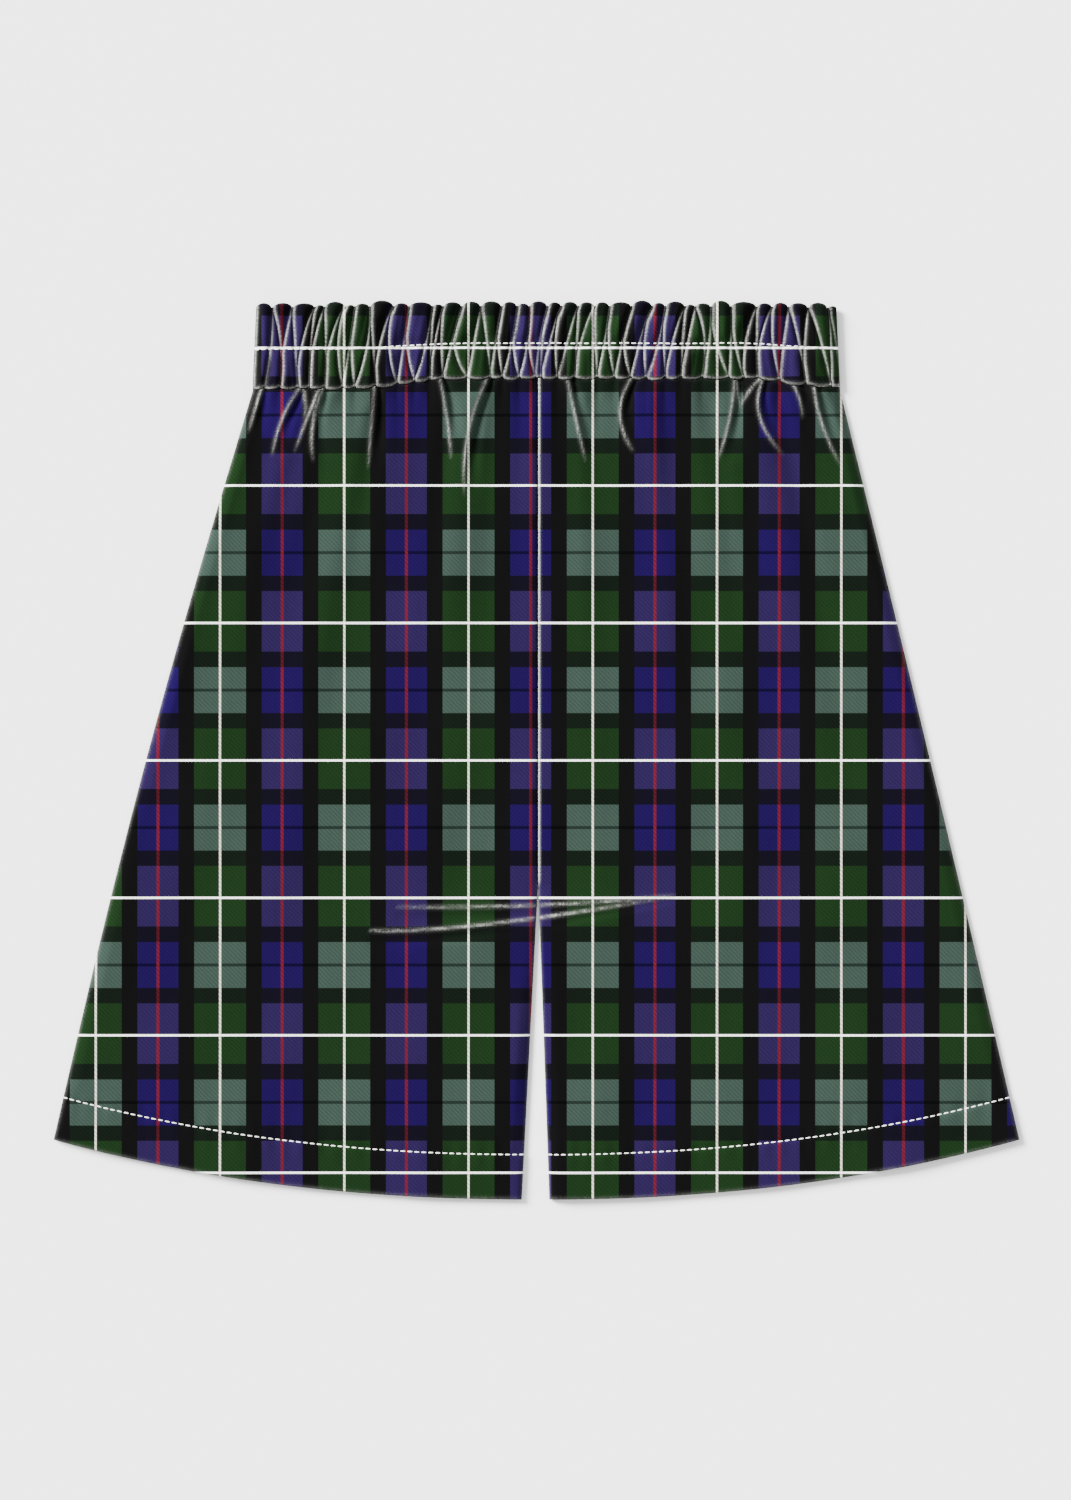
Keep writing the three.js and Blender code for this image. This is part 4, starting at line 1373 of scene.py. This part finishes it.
def hem_row(side, layer):
    """Stitches along a hem, from near the side seam to near the inner edge."""
    outer_x, inner_x = WAIST_END[side], CENTRE_X
    for _ in range(HEM_ROUNDS):
        outer_x = side_seam(side, hem_edge(outer_x) + HEM_DEPTH)
        inner_x = inner_edge(side, hem_edge(inner_x) + HEM_DEPTH)
    low, high = sorted([outer_x, inner_x])
    x = np.linspace(low + HEM_STITCH_INSET, high - HEM_STITCH_INSET, HEM_POINTS)
    y = hem_edge(x) + HEM_DEPTH
    z = SURFACE[layer](side, x, y) + STITCH_RISE[layer]
    return sew(f"{side}_{layer}_hem_stitches", np.column_stack([x, y, z]))


def waist_row(layer):
    """Stitches along the middle of one half of the waistband."""
    lines = creases_at(STITCH_LEVEL)
    x = np.linspace(lines[0] + BAND_STITCH_INSET, lines[-1] - BAND_STITCH_INSET, BAND_POINTS)
    y = mix(FOOT_EDGE[layer](x), top_edge(x), STITCH_LEVEL)
    window = np.full(2 * STRAIGHTEN + 1, 1 / (2 * STRAIGHTEN + 1))
    straight = np.convolve(np.pad(y, STRAIGHTEN, mode="edge"), window, mode="valid")
    from_end = np.minimum(x - lines[0], lines[-1] - x)
    puffs = puff_height(STITCH_LEVEL, *fold_at(lines, x))
    z = band_outside(layer, puffs, from_end) + STITCH_RISE[layer]
    above_floor = np.maximum(STITCH_HEIGHT / 2, z)
    return sew(f"{layer}_waist_stitches", np.column_stack([x, straight, above_floor]))


rows = [hem_row(side, layer) for side in SIGN for layer in SURFACE]
rows += [waist_row(layer) for layer in SURFACE]

# %% [markdown]
# Last, the shells take the place of the plain solids, which are hidden, and every piece hangs from the
# root body. The casing was cut longer than it lies, because the elastic draws it up.

for side in SIGN:
    for layer, panels in (("front", fronts), ("back", backs)):
        panel = panels[side]
        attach(panel, "root")
        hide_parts(f"{side}_{layer}_leg")
for layer, casing in casings.items():
    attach(casing, "root")
    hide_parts(f"{layer}_waistband")
for row in rows:
    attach(row, "root")

# %% [markdown]
# The shape of one stitch was only the pattern for the rows, so it goes. The cloth has to
# stay inside the box of the solids.

# %% Tidy up
bpy.data.objects.remove(one_stitch)
